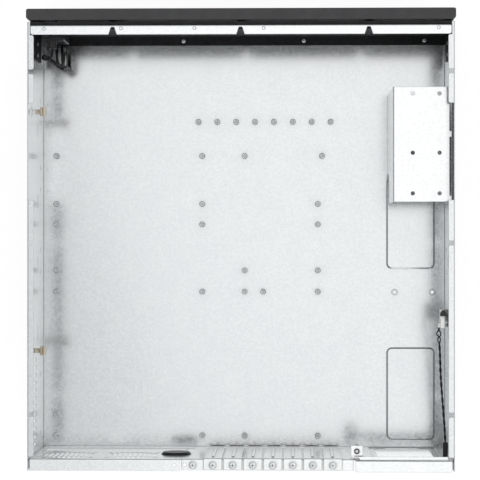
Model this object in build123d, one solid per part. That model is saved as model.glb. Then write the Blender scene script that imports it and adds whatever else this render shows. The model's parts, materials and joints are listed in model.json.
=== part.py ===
from build123d import *
import math
import os

# Empty 3U rackmount server case without its lid, in millimetres.
# X runs to the right seen from above with the rear edge nearest, Y from the
# rear edge to the front bezel, Z up. The origin is the middle of the footprint,
# on the surface that the case stands on.

# Overall sizes
case_depth = 470.0
body_width = 434.0
body_height = 131.0
sheet = 1.0
bend_radius = 0.6
overrun = 1.0
running_gap = 0.05

front_face_y = case_depth / 2
rear_face_y = -case_depth / 2
wall_x = body_width / 2
inner_wall_x = wall_x - sheet
floor_top = sheet
bend_drop = sheet + bend_radius

# Front bezel, front sheet and the rail behind them
bezel_overhang = 1.0
bezel_depth = 11.5
bezel_wall = 2.5
bezel_corner_radius = 2.0
bezel_back_chamfer = 2.5
bezel_gap = 1.8
front_sheet = 1.2
front_lip_depth = 3.4
front_bottom_lip = 8.5
front_side_gap = 0.2
front_side_flange = 29.8
front_side_flange_bottom = 33.0
front_lip_cut = 12.4
front_lip_inset = 3.2
rail_depth = 9.6
rail_drop = 14.0
rail_end_inset = 3.4
rail_notch_pitch = 130.0
rail_notch_mouth = 9.0
rail_notch_tip = 3.4
rail_notch_length = 7.6
rail_notch_round = 1.6
rail_dimple_radius = 1.7
rail_dimple_depth = 0.5
rail_dimple_inset = 3.4
rail_dimple_shares = (-0.461, -0.28, -0.108, 0.054, 0.462)

front_inner_y = front_face_y - bezel_depth - bezel_gap - front_lip_depth
front_outer_y = front_inner_y + front_sheet
lip_front_y = front_inner_y + front_lip_depth
bezel_back_y = front_face_y - bezel_depth
bezel_inner_y = front_face_y - bezel_wall
bezel_width = body_width + 2 * bezel_overhang
bezel_height = body_height + bezel_overhang
rail_rear_y = front_inner_y - rail_depth

# Rear wall, which stands inside the tray's rear edge
rear_wall_inset = 12.7
tray_rear_inset = 0.5
rear_flange_inset = 0.7
rear_shelf_inset = 1.4
rear_shelf_drop = 3.0
rear_flange_end_gap = 1.5
rear_seam = 1.2
rear_foot_inset = 1.2
rear_side_flange_drop = 3.0
rear_side_flange_lift = 3.0

rear_inner_y = rear_face_y + rear_wall_inset
rear_outer_y = rear_inner_y - sheet
tray_rear_y = rear_face_y + tray_rear_inset
shelf_top = body_height - rear_shelf_drop

# Board and card standards
atx_row_b = 154.94
atx_row_d = 227.33
atx_mid_to_io = 157.48
atx_mid_to_slot = 124.46
atx_mid_to_micro = 45.72
slot_pitch = 20.32
first_slot_from_mid = 16.26
io_width = 158.75
io_height = 44.45
io_below_board = 3.81
io_right_from_mid = 7.15
board_thickness = 1.57
fan_hole_pitch = 50.0
drive_hole_rear = 41.28
drive_hole_front = 60.33
drive_pitch = 27.2
psu_width = 63.5
psu_hole_width = 51.5

mid_column_from_wall = 171.4
psu_zone_from_wall = 100.0
mid_column_x = -inner_wall_x + mid_column_from_wall
psu_zone_x = inner_wall_x - psu_zone_from_wall
rear_row_from_wall = 12.0
rear_row_y = rear_inner_y + rear_row_from_wall
first_slot_x = mid_column_x + first_slot_from_mid
spare_slot_x = first_slot_x - slot_pitch
slot_count = int((psu_zone_x - rear_seam - first_slot_x) / slot_pitch)

# Standoffs on the floor
standoff_radius = 3.0
standoff_height = 6.4
standoff_hole_radius = 1.45
standoff_hole_depth = 5.0
row_a2_step = 22.5
row_c_step = 22.9
row_e_step = 22.0
row_f_share = 0.193
card_row_share = 0.2711
extra_column_step = 19.9
wide_column_step = 4.5

# Tray walls: top flanges, hooks, holes and vents
flange_width = 6.7
flange_front_width = 3.0
flange_corner_radius = 2.0
flange_rail_gap = 0.5
flange_rear_gap = 2.2
flange_cut_rear_share = 0.0862
flange_cut_front_share = 0.2953
lid_hook_gap = 4.5
lid_hook_pitch = 174.0
lid_hook_middle_y = -3.0
rail_hole_radius = 2.1
rail_hole_height = 28.5
rail_hole_shares = (0.316, 0.267, 0.1645, 0.1157, -0.023, -0.072, -0.304, -0.4366)
wall_slot_length = 14.0
wall_slot_width = 3.2
wall_slot_height = 53.0
wall_slot_shares = (0.246, 0.0868, -0.051, -0.2085)
side_vent_count = 12
side_vent_pitch = 8.0
side_vent_length = 15.0
side_vent_width = 3.0
side_vent_drop = 58.5
side_vent_height = body_height - side_vent_drop
side_vent_middle_share = -0.36

# Floor embosses
emboss_height = 1.3
emboss_width = 52.0
emboss_from_wall = 36.5
emboss_front_length = 98.0
emboss_rear_length = 99.5
emboss_bracket_gap = 21.0
emboss_rear_wall_gap = 57.3
emboss_radius = 6.0
emboss_taper = 52.0
collar_hole_radius = 1.6
collar_radius = 3.0
collar_height = 1.2
collar_share = 0.7044
collar_left_from_wall = 53.6
collar_right_from_wall = 13.4

# Lanced tabs on the left wall and the nylon saddles on them
tab_length = 8.4
tab_width = 5.0
tab_drop = 31.0
tab_height = body_height - tab_drop
tab_window_length = 10.0
tab_window_height = 9.0
tab_hole_radius = 1.3
tab_hole_inset = 2.2
tab_front_share = 0.281
tab_rear_share = -0.2426
saddle_length = 9.0
saddle_width = 6.4
saddle_height = 6.0
saddle_wall = 1.2
saddle_mouth = 1.6
saddle_base = 1.4
saddle_offset = 0.6
saddle_tongue = 5.2
saddle_pin_length = 3.0

# Rear wall openings
fan_vent_count = 10
fan_vent_pitch = 5.1
fan_vent_width = 3.0
fan_vent_radius = 28.5
fan_centre_drop = 39.0
fan_left_from_wall = 37.5
fan_right_from_wall = 103.5
fan_centre_height = body_height - fan_centre_drop
fan_hole_radius = 2.15
slot_opening_width = 12.7
slot_opening_bottom = 24.0
slot_opening_top_gap = 10.0
shoulder_slot_length = 6.5
shoulder_slot_width = 1.6
shoulder_slot_height = 20.5
plug_hole_radius = 13.4
plug_from_wall = 148.0
plug_drop = 51.0
plug_centre_x = -inner_wall_x + plug_from_wall
plug_centre_height = body_height - plug_drop
left_flange_gap = 12.84
left_flange_end_x = spare_slot_x - left_flange_gap
psu_lip_depth = 3.0
psu_lip_end_gap = 0.4
psu_from_wall = 47.0
psu_clearance = 3.0
psu_opening_top_gap = 2.0
psu_middle_x = inner_wall_x - psu_from_wall
nut_tab_width = 12.0
nut_tab_length = 13.6
nut_tab_drop = 6.0
nut_tab_inset = 2.0
nut_tab_x = psu_zone_x + nut_tab_inset
nut_hole_from_wall = 7.9
nut_hole_radius = 1.9
relief_radius = 2.2
relief_inset = 2.4
relief_x = psu_zone_x + relief_inset

# Slot covers and their screws
cover_width = 18.42
cover_sheet = 0.86
cover_bottom = 8.9
cover_tang_width = 13.8
cover_tab_inset = 0.3
cover_bead_width = 2.6
cover_bead_height = 0.7
cover_bead_end_gap = 12.0
slot_screw_from_edge = 5.2
screw_head_radius = 3.2
screw_head_height = 1.9
screw_flange_radius = 3.9
screw_flange_height = 0.6
screw_shank_radius = 1.7
screw_shank_length = 5.5
screw_notch_radius = 2.2
lid_hole_step = 18.64
shelf_hole_step = 8.04

# Plug in the rear wall
plug_flange_radius = 15.5
plug_flange_height = 2.4
plug_dome_radius = 2.0
plug_barrel_length = 3.2
plug_lip_radius = 14.0
plug_lip_height = 0.9
plug_wall = 1.6

# Plate that carries the power supply
plate_left_inset = 0.5
plate_right_gap = 1.7
plate_bottom = 3.0
plate_corner_radius = 2.5
plate_screw_inset = 6.0
plate_right_screw_inset = 4.6
plate_screw_low = 12.0
plate_screw_drop = 13.0
psu_cut_width = 57.5
psu_cut_margin = 4.5
psu_hole_margin = 6.5
psu_cut_corner = 11.0
psu_hole_radius = 1.9
plate_head_radius = 2.9
plate_head_height = 1.8
plate_shank_radius = 1.5
plate_shank_length = 3.6
plate_left_x = psu_zone_x + plate_left_inset
plate_right_x = inner_wall_x - plate_right_gap
psu_opening_height = body_height - psu_opening_top_gap - plate_bottom
psu_cut_height = psu_opening_height - 2 * psu_cut_margin
psu_hole_height = psu_opening_height - 2 * psu_hole_margin

# Rivets
rivet_head_radius = 2.2
rivet_head_height = 0.8
rivet_body_radius = 1.6
lip_rivet_count = 4
lip_rivet_end_inset = 21.6
lip_rivet_inset = 3.6
side_rivet_low = 66.0
side_rivet_drop = 27.0
side_rivet_high = body_height - side_rivet_drop
side_rivet_front_inset = 12.6
side_rivet_rear_inset = 24.6
rail_rivet_drop = 7.5

# Bezel fixings, grille and front controls
boss_radius = 4.0
boss_hole_radius = 1.4
boss_hole_depth = 9.0
boss_low = 13.0
boss_drop = 25.0
boss_high = body_height - boss_drop
bezel_screw_radius = 1.35
bezel_screw_length = 8.0
bezel_screw_head_radius = 2.9
bezel_screw_head_height = 1.7
grille_columns = 5
grille_rows = 6
grille_rib = 10.0
grille_slot_width = 5.0
grille_left_inset = 91.0
grille_right_inset = 25.0
grille_low = 42.0
grille_top_gap = 30.0
grille_left_x = -bezel_width / 2 + grille_left_inset
grille_right_x = bezel_width / 2 - grille_right_inset
grille_column_pitch = (grille_right_x - grille_left_x + grille_rib) / grille_columns
grille_slot_length = grille_column_pitch - grille_rib
grille_high = bezel_height - grille_top_gap
grille_row_pitch = (grille_high - grille_low) / (grille_rows - 1)
window_margin = 3.0
control_from_wall = 24.5
control_x = -inner_wall_x + control_from_wall
control_recess_width = 20.0
control_recess_height = 62.0
control_recess_depth = 1.0
control_recess_radius = 4.0
control_recess_drop = 43.0
power_drop = 41.0
reset_drop = 57.0
lamp_drop = 27.0
control_recess_middle = body_height - control_recess_drop
power_height = body_height - power_drop
reset_height = body_height - reset_drop
lamp_height = body_height - lamp_drop
lamp_pitch = 7.0
power_cap_radius = 6.0
reset_cap_radius = 2.2
lamp_radius = 1.5
cap_flange_step = 1.0
cap_flange_height = 1.2
power_stem_radius = 2.2
reset_stem_radius = 1.3
stem_clearance = 0.8
button_rest_gap = 0.1
button_travel = 1.5
button_travel_spare = 0.7
stem_engagement = 3.0
button_crown = 0.6

# Control module behind the front sheet, with its plug
module_left_gap = 18.5
module_width = 15.5
module_depth = 13.0
module_bottom_drop = 69.0
module_top_drop = 22.0
module_left_x = -inner_wall_x + module_left_gap
module_right_x = module_left_x + module_width
module_bottom = body_height - module_bottom_drop
module_top = body_height - module_top_drop
module_round = 1.2
module_ear_height = 6.6
module_ear_depth = 3.0
module_screw_radius = 1.2
module_screw_head_radius = 2.2
module_screw_head_height = 1.3
module_plug_width = 7.2
module_plug_depth = 8.6
module_plug_height = 10.0
module_plug_left_gap = 3.5
module_plug_drop = 5.0
module_plug_middle_x = module_left_x + module_plug_left_gap
module_plug_middle_height = module_top - module_plug_drop
module_plug_round = 0.8

# Front leads: one sleeved bundle, coiled flat and tied behind the module
front_lead_radius = 1.5
hank_turns = 3
hank_wall_gap = 21.0
hank_module_gap = 1.7
hank_left_x = -inner_wall_x + hank_wall_gap
hank_front_y = front_inner_y - module_depth - hank_module_gap
hank_width = 21.0
hank_height = 76.0
hank_bottom = 1.1
hank_round = 1.3
hank_tie_height = 48.0
hank_tie_width = 3.6
hank_tie_thickness = 1.0
hank_tie_head = 4.4
upper_tail_points = (
    (-194.0, 196.7, 104.0),
    (-194.7, 190.6, 102.6),
    (-198.2, 186.2, 96.0),
    (-202.9, 186.4, 86.8),
    (-206.4, 189.4, 76.0),
    (-207.3, 191.7, 65.0),
    (-205.6, 191.2, 53.0),
    (-201.8, 188.7, 42.0),
    (-197.4, 186.2, 32.0),
    (-194.3, 184.6, 23.0),
    (-193.5, 184.1, 13.5),
)
lower_tail_points = (
    (-193.5, 202.1, 43.0),
    (-193.9, 204.9, 37.0),
    (-196.0, 208.6, 31.6),
    (-198.6, 211.8, 27.0),
    (-200.0, 213.6, 22.6),
    (-200.1, 213.9, 18.6),
)
header_plug_width = 5.2
header_plug_depth = 5.2
header_plug_height = 16.4

# Lid switch on the right wall
switch_from_rear = 151.3
switch_length = 18.2
switch_from_wall = 13.2
switch_body_width = 3.9
switch_body_drop = 5.0
switch_body_height = 16.0
switch_guide_length = 6.1
switch_guide_drop = 12.0
switch_lid_gap = 0.6
switch_plunger_height = 7.2
switch_plunger_width = 6.6
switch_plunger_offset = 0.6
switch_plunger_front_share = 0.35
switch_stem_radius = 1.2
switch_stem_depth = 5.5
switch_bore_spare = 0.4
switch_travel = 2.5
switch_web_drop = 30.0
switch_foot_height = 15.0
switch_bracket_drop = 7.0
switch_web_hole_radius = 1.3
switch_web_hole_gap = 6.1
switch_screw_radius = 1.0
switch_screw_head_radius = 1.9
switch_screw_head_height = 0.9
switch_screw_drop = 8.6
switch_screw_pitch = 5.8
switch_terminal_depth = 1.6
switch_terminal_height = 4.0
wall_screw_radius = 1.5
wall_screw_head_radius = 2.8
wall_screw_head_height = 1.4
switch_front_y = rear_inner_y + switch_from_rear
switch_left_x = inner_wall_x - switch_from_wall
switch_web_hole_x = inner_wall_x - switch_web_hole_gap
switch_body_top = body_height - switch_body_drop
switch_body_bottom = switch_body_top - switch_body_height
switch_guide_top = body_height - switch_guide_drop
switch_plunger_top = body_height - switch_lid_gap
switch_plunger_bottom = switch_plunger_top - switch_plunger_height
switch_bracket_web = body_height - switch_web_drop
switch_bracket_foot = switch_bracket_web - switch_foot_height
switch_bracket_top = body_height - switch_bracket_drop
switch_screw_high = body_height - switch_screw_drop
switch_screw_low = switch_screw_high - switch_screw_pitch
switch_lead_radius = 1.3
switch_lead_points = (
    (202.0, -89.2, 112.0),
    (201.7, -94.4, 111.8),
    (202.1, -101.2, 110.9),
    (203.2, -112.0, 108.2),
    (203.9, -128.4, 104.8),
    (204.8, -145.4, 102.6),
    (206.2, -162.4, 102.1),
    (207.4, -179.0, 103.0),
    (208.5, -194.4, 104.6),
    (209.0, -207.0, 105.6),
)
lead_plug_length = 15.3
lead_plug_width = 5.0
lead_plug_height = 2.8
lead_plug_round = 0.4

# Drive bracket
bracket_width = 61.0
bracket_drop = 13.0
bracket_length = 117.0
bracket_front_gap = 62.3
bracket_foot = 11.0
bracket_lip = 10.0
bracket_foot_rear_gap = 33.0
bracket_foot_front_gap = 4.0
bracket_rear_row_gap = 8.5
bracket_near_column_gap = 20.1
bracket_hole_radius = 2.0
bracket_slot_wall_gap = 1.4
bracket_slot_width = 2.1
bracket_slot_bridge_gap = 69.0
bracket_slot_bridge = 6.0
bracket_slot_end_gap = 6.0
bracket_arch_length = 32.0
bracket_arch_height = 24.0
bracket_arch_radius = 9.0
bracket_screw_low = 40.0
bracket_screw_drop = 18.0
bracket_screw_end_gap = 16.0
bracket_head_height = 0.9
bracket_left_x = inner_wall_x - bracket_width
bracket_top = body_height - bracket_drop
bracket_front_y = front_inner_y - bracket_front_gap
bracket_rear_y = bracket_front_y - bracket_length
bracket_screw_high = bracket_top - bracket_screw_drop


def along_y(section, rear, front):
    """Solid of a section drawn in X and Z, between two places along Y."""
    return extrude(Pos(0, front, 0) * (Plane.XZ * section), front - rear, dir=(0, -1, 0))


def along_x(section, left, right):
    """Solid of a section drawn in Y and Z, between two places along X."""
    return extrude(Pos(left, 0, 0) * (Plane.YZ * section), right - left, dir=(1, 0, 0))


def block(left, right, rear, front, bottom, top):
    """Box between two places along each axis."""
    size = Box(right - left, front - rear, top - bottom)
    return Pos((left + right) / 2, (rear + front) / 2, (bottom + top) / 2) * size


def rod_x(left, right, y, z, radius):
    """Cylinder along X."""
    return Pos((left + right) / 2, y, z) * Rot(0, 90, 0) * Cylinder(radius, right - left)


def rod_y(x, rear, front, z, radius):
    """Cylinder along Y."""
    return Pos(x, (rear + front) / 2, z) * Rot(90, 0, 0) * Cylinder(radius, front - rear)


def rod_z(x, y, bottom, top, radius):
    """Cylinder along Z."""
    return Pos(x, y, (bottom + top) / 2) * Cylinder(radius, top - bottom)


def folded(points, thickness=sheet, inner=bend_radius):
    """Section of a sheet folded along points, with the sheet on the left of the line."""
    line = [Vector(*point) for point in points]
    headings = [(after - before).normalized() for before, after in zip(line, line[1:])]
    lefts = [Vector(-heading.Y, heading.X) for heading in headings]
    other = [line[0] + lefts[0] * thickness]
    line_radii = []
    other_radii = []
    for corner, left, next_left, heading in zip(line[1:], lefts, lefts[1:], headings):
        other.append(corner + (left + next_left) * (thickness / (1 + left.dot(next_left))))
        turns_left = next_left.dot(heading) < 0
        line_radii.append(inner + thickness if turns_left else inner)
        other_radii.append(inner if turns_left else inner + thickness)
    other.append(line[-1] + lefts[-1] * thickness)
    near = FilletPolyline(*line, radius=line_radii)
    far = FilletPolyline(*other, radius=other_radii)
    outline = near + Line(line[-1], other[-1]) + far + Line(other[0], line[0])
    return make_face(outline)


def round_cord(points, radius, name):
    """Tube along straight runs joined by tangent arcs, each as large as its runs allow."""
    route = [Vector(*point) for point in points]
    radii = []
    for before, corner, after in zip(route, route[1:], route[2:]):
        turn = math.radians((corner - before).get_angle(after - corner))
        shorter = min((corner - before).length, (after - corner).length)
        radii.append(0.45 * shorter / math.tan(turn / 2))
    path = FilletPolyline(*route, radius=radii)
    start = Plane(origin=path @ 0, z_dir=path % 0)
    tube = sweep(start * Circle(radius), path=path)
    expected = math.pi * radius**2 * path.length
    print(name, "length", round(path.length, 1), "radii", [round(r, 1) for r in radii])
    print(name, "volume over section times length", round(tube.volume / expected, 4))
    return tube


def both_sides(solid):
    """A solid on the left and its mirror image on the right."""
    return solid + mirror(solid, about=Plane.YZ)


def flange_spans():
    """Stretches of full-width flange on each side wall, as pairs of places along Y."""
    breaks = [(flange_cut_rear_share * case_depth, flange_cut_front_share * case_depth)]
    for step in (-1, 0, 1):
        middle = lid_hook_middle_y + step * lid_hook_pitch
        breaks.append((middle - lid_hook_gap / 2, middle + lid_hook_gap / 2))
    ends = [rear_inner_y + flange_rear_gap]
    for pair in sorted(breaks):
        ends.extend(pair)
    ends.append(rail_rear_y - flange_rail_gap)
    return list(zip(ends[::2], ends[1::2]))


def wall_flange(width, rear, front):
    """Top flange of the left wall, folded inwards."""
    section = folded([
        (-wall_x + width, body_height),
        (-wall_x, body_height),
        (-wall_x, body_height - 2 * bend_drop),
    ])
    return along_y(section, rear, front)


def rounded_flange(rear, front):
    """Full-width flange stretch on the left wall, with its free corners rounded."""
    flange = wall_flange(flange_width, rear, front)
    tip_x = -wall_x + flange_width
    corners = flange.edges().filter_by(Axis.Z).filter_by_position(Axis.X, tip_x, tip_x)
    return fillet(corners, flange_corner_radius)


def emboss(length, middle_y):
    """A raised pad on the floor and the hollow under it."""
    outline = RectangleRounded(emboss_width, length, emboss_radius)
    hollow = RectangleRounded(
        emboss_width - 2 * sheet, length - 2 * sheet, emboss_radius - sheet
    )
    place = Pos(inner_wall_x - emboss_from_wall, middle_y, 0)
    pad = place * Pos(0, 0, sheet) * extrude(outline, emboss_height, taper=emboss_taper)
    under = place * extrude(hollow, emboss_height, taper=emboss_taper)
    return pad, under


def emboss_places():
    """Length and middle along Y of the two floor embosses, the front one first."""
    return (
        (emboss_front_length, bracket_rear_y - emboss_bracket_gap),
        (emboss_rear_length, rear_inner_y + emboss_rear_wall_gap),
    )


def collar_places():
    """Places of the two floor collars, which lie between the embosses."""
    (front_length, front_y), (rear_length, rear_y) = emboss_places()
    start = rear_y + rear_length / 2
    y = start + collar_share * (front_y - front_length / 2 - start)
    return [
        (inner_wall_x - collar_left_from_wall, y),
        (inner_wall_x - collar_right_from_wall, y),
    ]


def wall_cuts():
    """Holes and slots that both side walls have."""
    depth = sheet + 2 * overrun
    outer = -wall_x - overrun
    cuts = []
    for share in rail_hole_shares:
        cuts.append(
            rod_x(outer, outer + depth, share * case_depth, rail_hole_height, rail_hole_radius)
        )
    slots = Sketch() + [
        Pos(share * case_depth, wall_slot_height) * SlotOverall(wall_slot_length, wall_slot_width)
        for share in wall_slot_shares
    ]
    cuts.append(along_x(slots, outer, outer + depth))
    return cuts


def side_vents():
    """Row of upright slots in the left wall."""
    middle = side_vent_middle_share * case_depth
    start = middle - (side_vent_count - 1) * side_vent_pitch / 2
    slots = Sketch() + [
        Pos(start + step * side_vent_pitch, side_vent_height)
        * Rectangle(side_vent_width, side_vent_length)
        for step in range(side_vent_count)
    ]
    return along_x(slots, -wall_x - overrun, -inner_wall_x + overrun)


def tab_places():
    """Middles of the two lanced tabs along Y."""
    return tab_front_share * case_depth, tab_rear_share * case_depth


def base_tray():
    """Floor and side walls, folded from one sheet."""
    wall_top = body_height - bend_drop
    section = folded([
        (-wall_x, wall_top),
        (-wall_x, 0),
        (wall_x, 0),
        (wall_x, wall_top),
    ])
    tray = along_y(section, tray_rear_y, lip_front_y)
    tray += [both_sides(rounded_flange(rear, front)) for rear, front in flange_spans()]
    front_strip = wall_flange(flange_front_width, rail_rear_y - flange_rail_gap, lip_front_y)
    tray += both_sides(front_strip)
    tray -= block(
        -inner_wall_x + bend_radius, inner_wall_x - bend_radius,
        front_outer_y, lip_front_y + overrun, -overrun, sheet + overrun,
    )
    for length, middle_y in emboss_places():
        pad, under = emboss(length, middle_y)
        tray = tray + pad - under
    for x, y in collar_places():
        tray += rod_z(x, y, 0, floor_top + collar_height, collar_radius)
        top = floor_top + collar_height + overrun
        tray -= rod_z(x, y, -overrun, top, collar_hole_radius)
    for middle in tab_places():
        window_top = tab_height + tab_window_height
        tray -= block(
            -wall_x - overrun, -inner_wall_x + overrun,
            middle - tab_window_length / 2, middle + tab_window_length / 2,
            tab_height, window_top,
        )
        tab = block(
            -wall_x, -inner_wall_x + tab_length,
            middle - tab_width / 2, middle + tab_width / 2,
            tab_height - sheet, tab_height,
        )
        hole_x = -inner_wall_x + tab_length - tab_hole_inset
        tray += tab
        tray -= rod_z(
            hole_x, middle, tab_height - sheet - overrun, tab_height + overrun, tab_hole_radius
        )
    for cut in wall_cuts():
        tray -= both_sides(cut)
    tray -= side_vents()
    for rear_z in (side_rivet_low, side_rivet_high):
        for inset in (side_rivet_front_inset, side_rivet_rear_inset):
            hole = rod_x(
                -wall_x - overrun, -inner_wall_x + overrun,
                front_inner_y - inset, rear_z, rivet_body_radius,
            )
            tray -= both_sides(hole)
    for x in lip_rivet_xs():
        tray -= rod_z(
            x, front_inner_y - lip_rivet_inset, -overrun, sheet + overrun, rivet_body_radius
        )
    for y in switch_screw_ys():
        tray -= rod_x(
            inner_wall_x - overrun, wall_x + overrun,
            y, switch_bracket_foot + wall_screw_lift(), wall_screw_radius,
        )
    for y, z in bracket_screw_places():
        tray -= rod_x(inner_wall_x - overrun, wall_x + overrun, y, z, wall_screw_radius)
    return tray


def lip_rivet_xs():
    """Places of the rivets along the front sheet's bottom lip."""
    reach = inner_wall_x - lip_rivet_end_inset
    pitch = 2 * reach / (lip_rivet_count - 1)
    return [step * pitch - reach for step in range(lip_rivet_count)]


def slot_xs():
    """Middles of the card slots."""
    return [first_slot_x + step * slot_pitch for step in range(slot_count)]


def fan_vents(centre_x):
    """Upright slots that fill a round fan field, and the four fan holes."""
    shapes = []
    for step in range(fan_vent_count):
        offset = (step - (fan_vent_count - 1) / 2) * fan_vent_pitch
        length = 2 * math.sqrt(fan_vent_radius**2 - offset**2)
        slot = Rot(0, 0, 90) * SlotOverall(length, fan_vent_width)
        shapes.append(Pos(centre_x + offset, fan_centre_height) * slot)
    half = fan_hole_pitch / 2
    for side in (-half, half):
        for level in (-half, half):
            hole = Circle(fan_hole_radius)
            shapes.append(Pos(centre_x + side, fan_centre_height + level) * hole)
    return shapes


def io_bottom():
    """Lower edge of the connector opening, set from the board's upper face."""
    return floor_top + standoff_height + board_thickness - io_below_board


def rear_openings():
    """All openings of the rear wall as one sketch in X and Z."""
    io_right = mid_column_x - io_right_from_mid
    shapes = [
        Pos(io_right - io_width / 2, io_bottom() + io_height / 2) * Rectangle(io_width, io_height)
    ]
    shapes += fan_vents(-inner_wall_x + fan_left_from_wall)
    shapes += fan_vents(-inner_wall_x + fan_right_from_wall)
    top = shelf_top - slot_opening_top_gap
    for x in slot_xs():
        opening = Rectangle(slot_opening_width, top - slot_opening_bottom)
        shapes.append(Pos(x, (top + slot_opening_bottom) / 2) * opening)
    for step in range(slot_count + 1):
        gap_x = first_slot_x + (step - 0.5) * slot_pitch
        shoulder = Rectangle(shoulder_slot_length, shoulder_slot_width)
        shapes.append(Pos(gap_x, shoulder_slot_height) * shoulder)
    shapes.append(Pos(plug_centre_x, plug_centre_height) * Circle(plug_hole_radius))
    psu_opening = Rectangle(psu_width + 2 * psu_clearance, psu_opening_height)
    shapes.append(Pos(psu_middle_x, plate_middle()) * psu_opening)
    for x, z in plate_screw_places():
        shapes.append(Pos(x, z) * Circle(plate_shank_radius))
    return Sketch() + shapes


def rear_stretch(left, right, top, edge_y):
    """Stretch of the rear wall with its foot and an outward flange at the top."""
    foot_y = tray_rear_y + rear_foot_inset
    section = folded([
        (foot_y, floor_top),
        (rear_inner_y, floor_top),
        (rear_inner_y, top),
        (edge_y, top),
    ])
    return along_x(section, left, right)


def psu_stretch(left, right):
    """Stretch of the rear wall at the power supply, with a short inward lip."""
    foot_y = tray_rear_y + rear_foot_inset
    section = folded([
        (foot_y, floor_top),
        (rear_inner_y, floor_top),
        (rear_inner_y, body_height - sheet),
        (rear_inner_y + psu_lip_depth, body_height - sheet),
    ])
    return along_x(section, left, right)


def rear_panel():
    """Rear wall with the connector, card, fan and power supply openings."""
    flange_end = inner_wall_x - rear_flange_end_gap
    full_bottom = floor_top + sheet + bend_radius
    panel = rear_stretch(
        -flange_end, left_flange_end_x, body_height, rear_face_y + rear_flange_inset
    )
    panel += rear_stretch(
        left_flange_end_x + rear_seam, psu_zone_x - rear_seam,
        shelf_top, rear_face_y + rear_shelf_inset,
    )
    panel += psu_stretch(psu_zone_x, flange_end)
    panel -= block(
        wall_x - flange_width - psu_lip_end_gap, inner_wall_x,
        rear_inner_y, rear_inner_y + psu_lip_depth + overrun,
        body_height - bend_drop, body_height + overrun,
    )
    panel += block(
        -inner_wall_x, inner_wall_x, rear_outer_y, rear_inner_y,
        full_bottom, shelf_top - bend_drop,
    )
    side_flange = block(
        -inner_wall_x, -inner_wall_x + sheet,
        tray_rear_y + rear_foot_inset, rear_outer_y,
        full_bottom + rear_side_flange_lift, shelf_top - bend_drop - rear_side_flange_drop,
    )
    panel += both_sides(side_flange)
    nut_tab_top = body_height - nut_tab_drop
    panel += block(
        nut_tab_x - nut_tab_width / 2, nut_tab_x + nut_tab_width / 2,
        rear_outer_y, rear_inner_y + nut_tab_length,
        nut_tab_top - sheet, nut_tab_top,
    )
    panel -= rod_z(
        nut_tab_x, rear_inner_y + nut_hole_from_wall,
        nut_tab_top - sheet - overrun, nut_tab_top + overrun, nut_hole_radius,
    )
    panel -= rod_z(
        relief_x, rear_inner_y, body_height - bend_drop, body_height + overrun, relief_radius
    )
    panel -= along_y(rear_openings(), rear_outer_y - overrun, rear_inner_y + overrun)
    screw_y = slot_screw_y()
    for x in [spare_slot_x] + slot_xs():
        panel -= rod_z(x, screw_y, shelf_top - sheet - overrun, shelf_top + overrun, screw_shank_radius)
    panel -= rod_z(
        spare_slot_x - shelf_hole_step, screw_y,
        shelf_top - sheet - overrun, shelf_top + overrun, screw_shank_radius,
    )
    panel -= rod_z(
        spare_slot_x - lid_hole_step, screw_y,
        body_height - sheet - overrun, body_height + overrun, screw_shank_radius,
    )
    return panel


def slot_screw_y():
    """Line of the card screws along Y."""
    return rear_face_y + rear_shelf_inset + slot_screw_from_edge


def slot_cover(x):
    """Folded blank that closes one card slot."""
    face_y = rear_inner_y + cover_sheet
    top = shelf_top + cover_sheet
    section = folded([
        (face_y, cover_bottom),
        (face_y, top),
        (rear_face_y + rear_shelf_inset + cover_tab_inset, top),
    ], cover_sheet)
    cover = along_x(section, x - cover_width / 2, x + cover_width / 2)
    shoulder = (cover_width - cover_tang_width) / 2
    for side in (-1, 1):
        edge = x + side * cover_width / 2
        inner = edge - side * shoulder
        cover -= block(
            min(edge, inner), max(edge, inner), rear_inner_y - overrun, face_y + overrun,
            cover_bottom - overrun, shoulder_slot_height,
        )
    bead_bottom = slot_opening_bottom
    bead_top = shelf_top - cover_bead_end_gap
    bead = Pos(x, (bead_bottom + bead_top) / 2) * Rot(0, 0, 90) * SlotOverall(
        bead_top - bead_bottom, cover_bead_width
    )
    cover += along_y(bead, face_y, face_y + cover_bead_height)
    cover -= rod_z(x, slot_screw_y(), shelf_top - overrun, top + overrun, screw_notch_radius)
    return cover


def pan_screw(head_radius, head_height, shank_radius, shank_length):
    """Screw that points down, with its seat at the origin."""
    half = [
        (0, -shank_length),
        (shank_radius, -shank_length),
        (shank_radius, 0),
        (head_radius, 0),
        (head_radius, head_height),
        (0, head_height),
    ]
    return revolve(Plane.XZ * make_face(Polyline(*half, close=True)), Axis.Z)


def card_screw():
    """Washer-faced screw of the card shelf."""
    screw = pan_screw(
        screw_head_radius, screw_head_height, screw_shank_radius - running_gap,
        screw_shank_length,
    )
    return screw + rod_z(0, 0, 0, screw_flange_height, screw_flange_radius)


def slot_screws():
    """Screws of the seven covers and of the spare place beside them."""
    screws = [Pos(x, slot_screw_y(), shelf_top + cover_sheet) * card_screw() for x in slot_xs()]
    screws.append(Pos(spare_slot_x, slot_screw_y(), shelf_top) * card_screw())
    return screws


def blanking_plug():
    """Moulded plug that snaps into the round hole of the rear wall from inside."""
    barrel = plug_hole_radius - running_gap
    outer_end = -sheet - plug_barrel_length
    half = [
        (0, plug_flange_height),
        (plug_flange_radius - plug_dome_radius, plug_flange_height),
        (plug_flange_radius, plug_flange_height - plug_dome_radius),
        (plug_flange_radius, 0),
        (barrel, 0),
        (barrel, -sheet),
        (plug_lip_radius, -sheet - plug_lip_height),
        (barrel, outer_end),
        (barrel - plug_wall, outer_end),
        (barrel - plug_wall, plug_flange_height - plug_wall),
        (0, plug_flange_height - plug_wall),
    ]
    plug = revolve(Plane.XZ * make_face(Polyline(*half, close=True)), Axis.Z)
    return Pos(plug_centre_x, rear_inner_y, plug_centre_height) * Rot(-90, 0, 0) * plug


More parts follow.
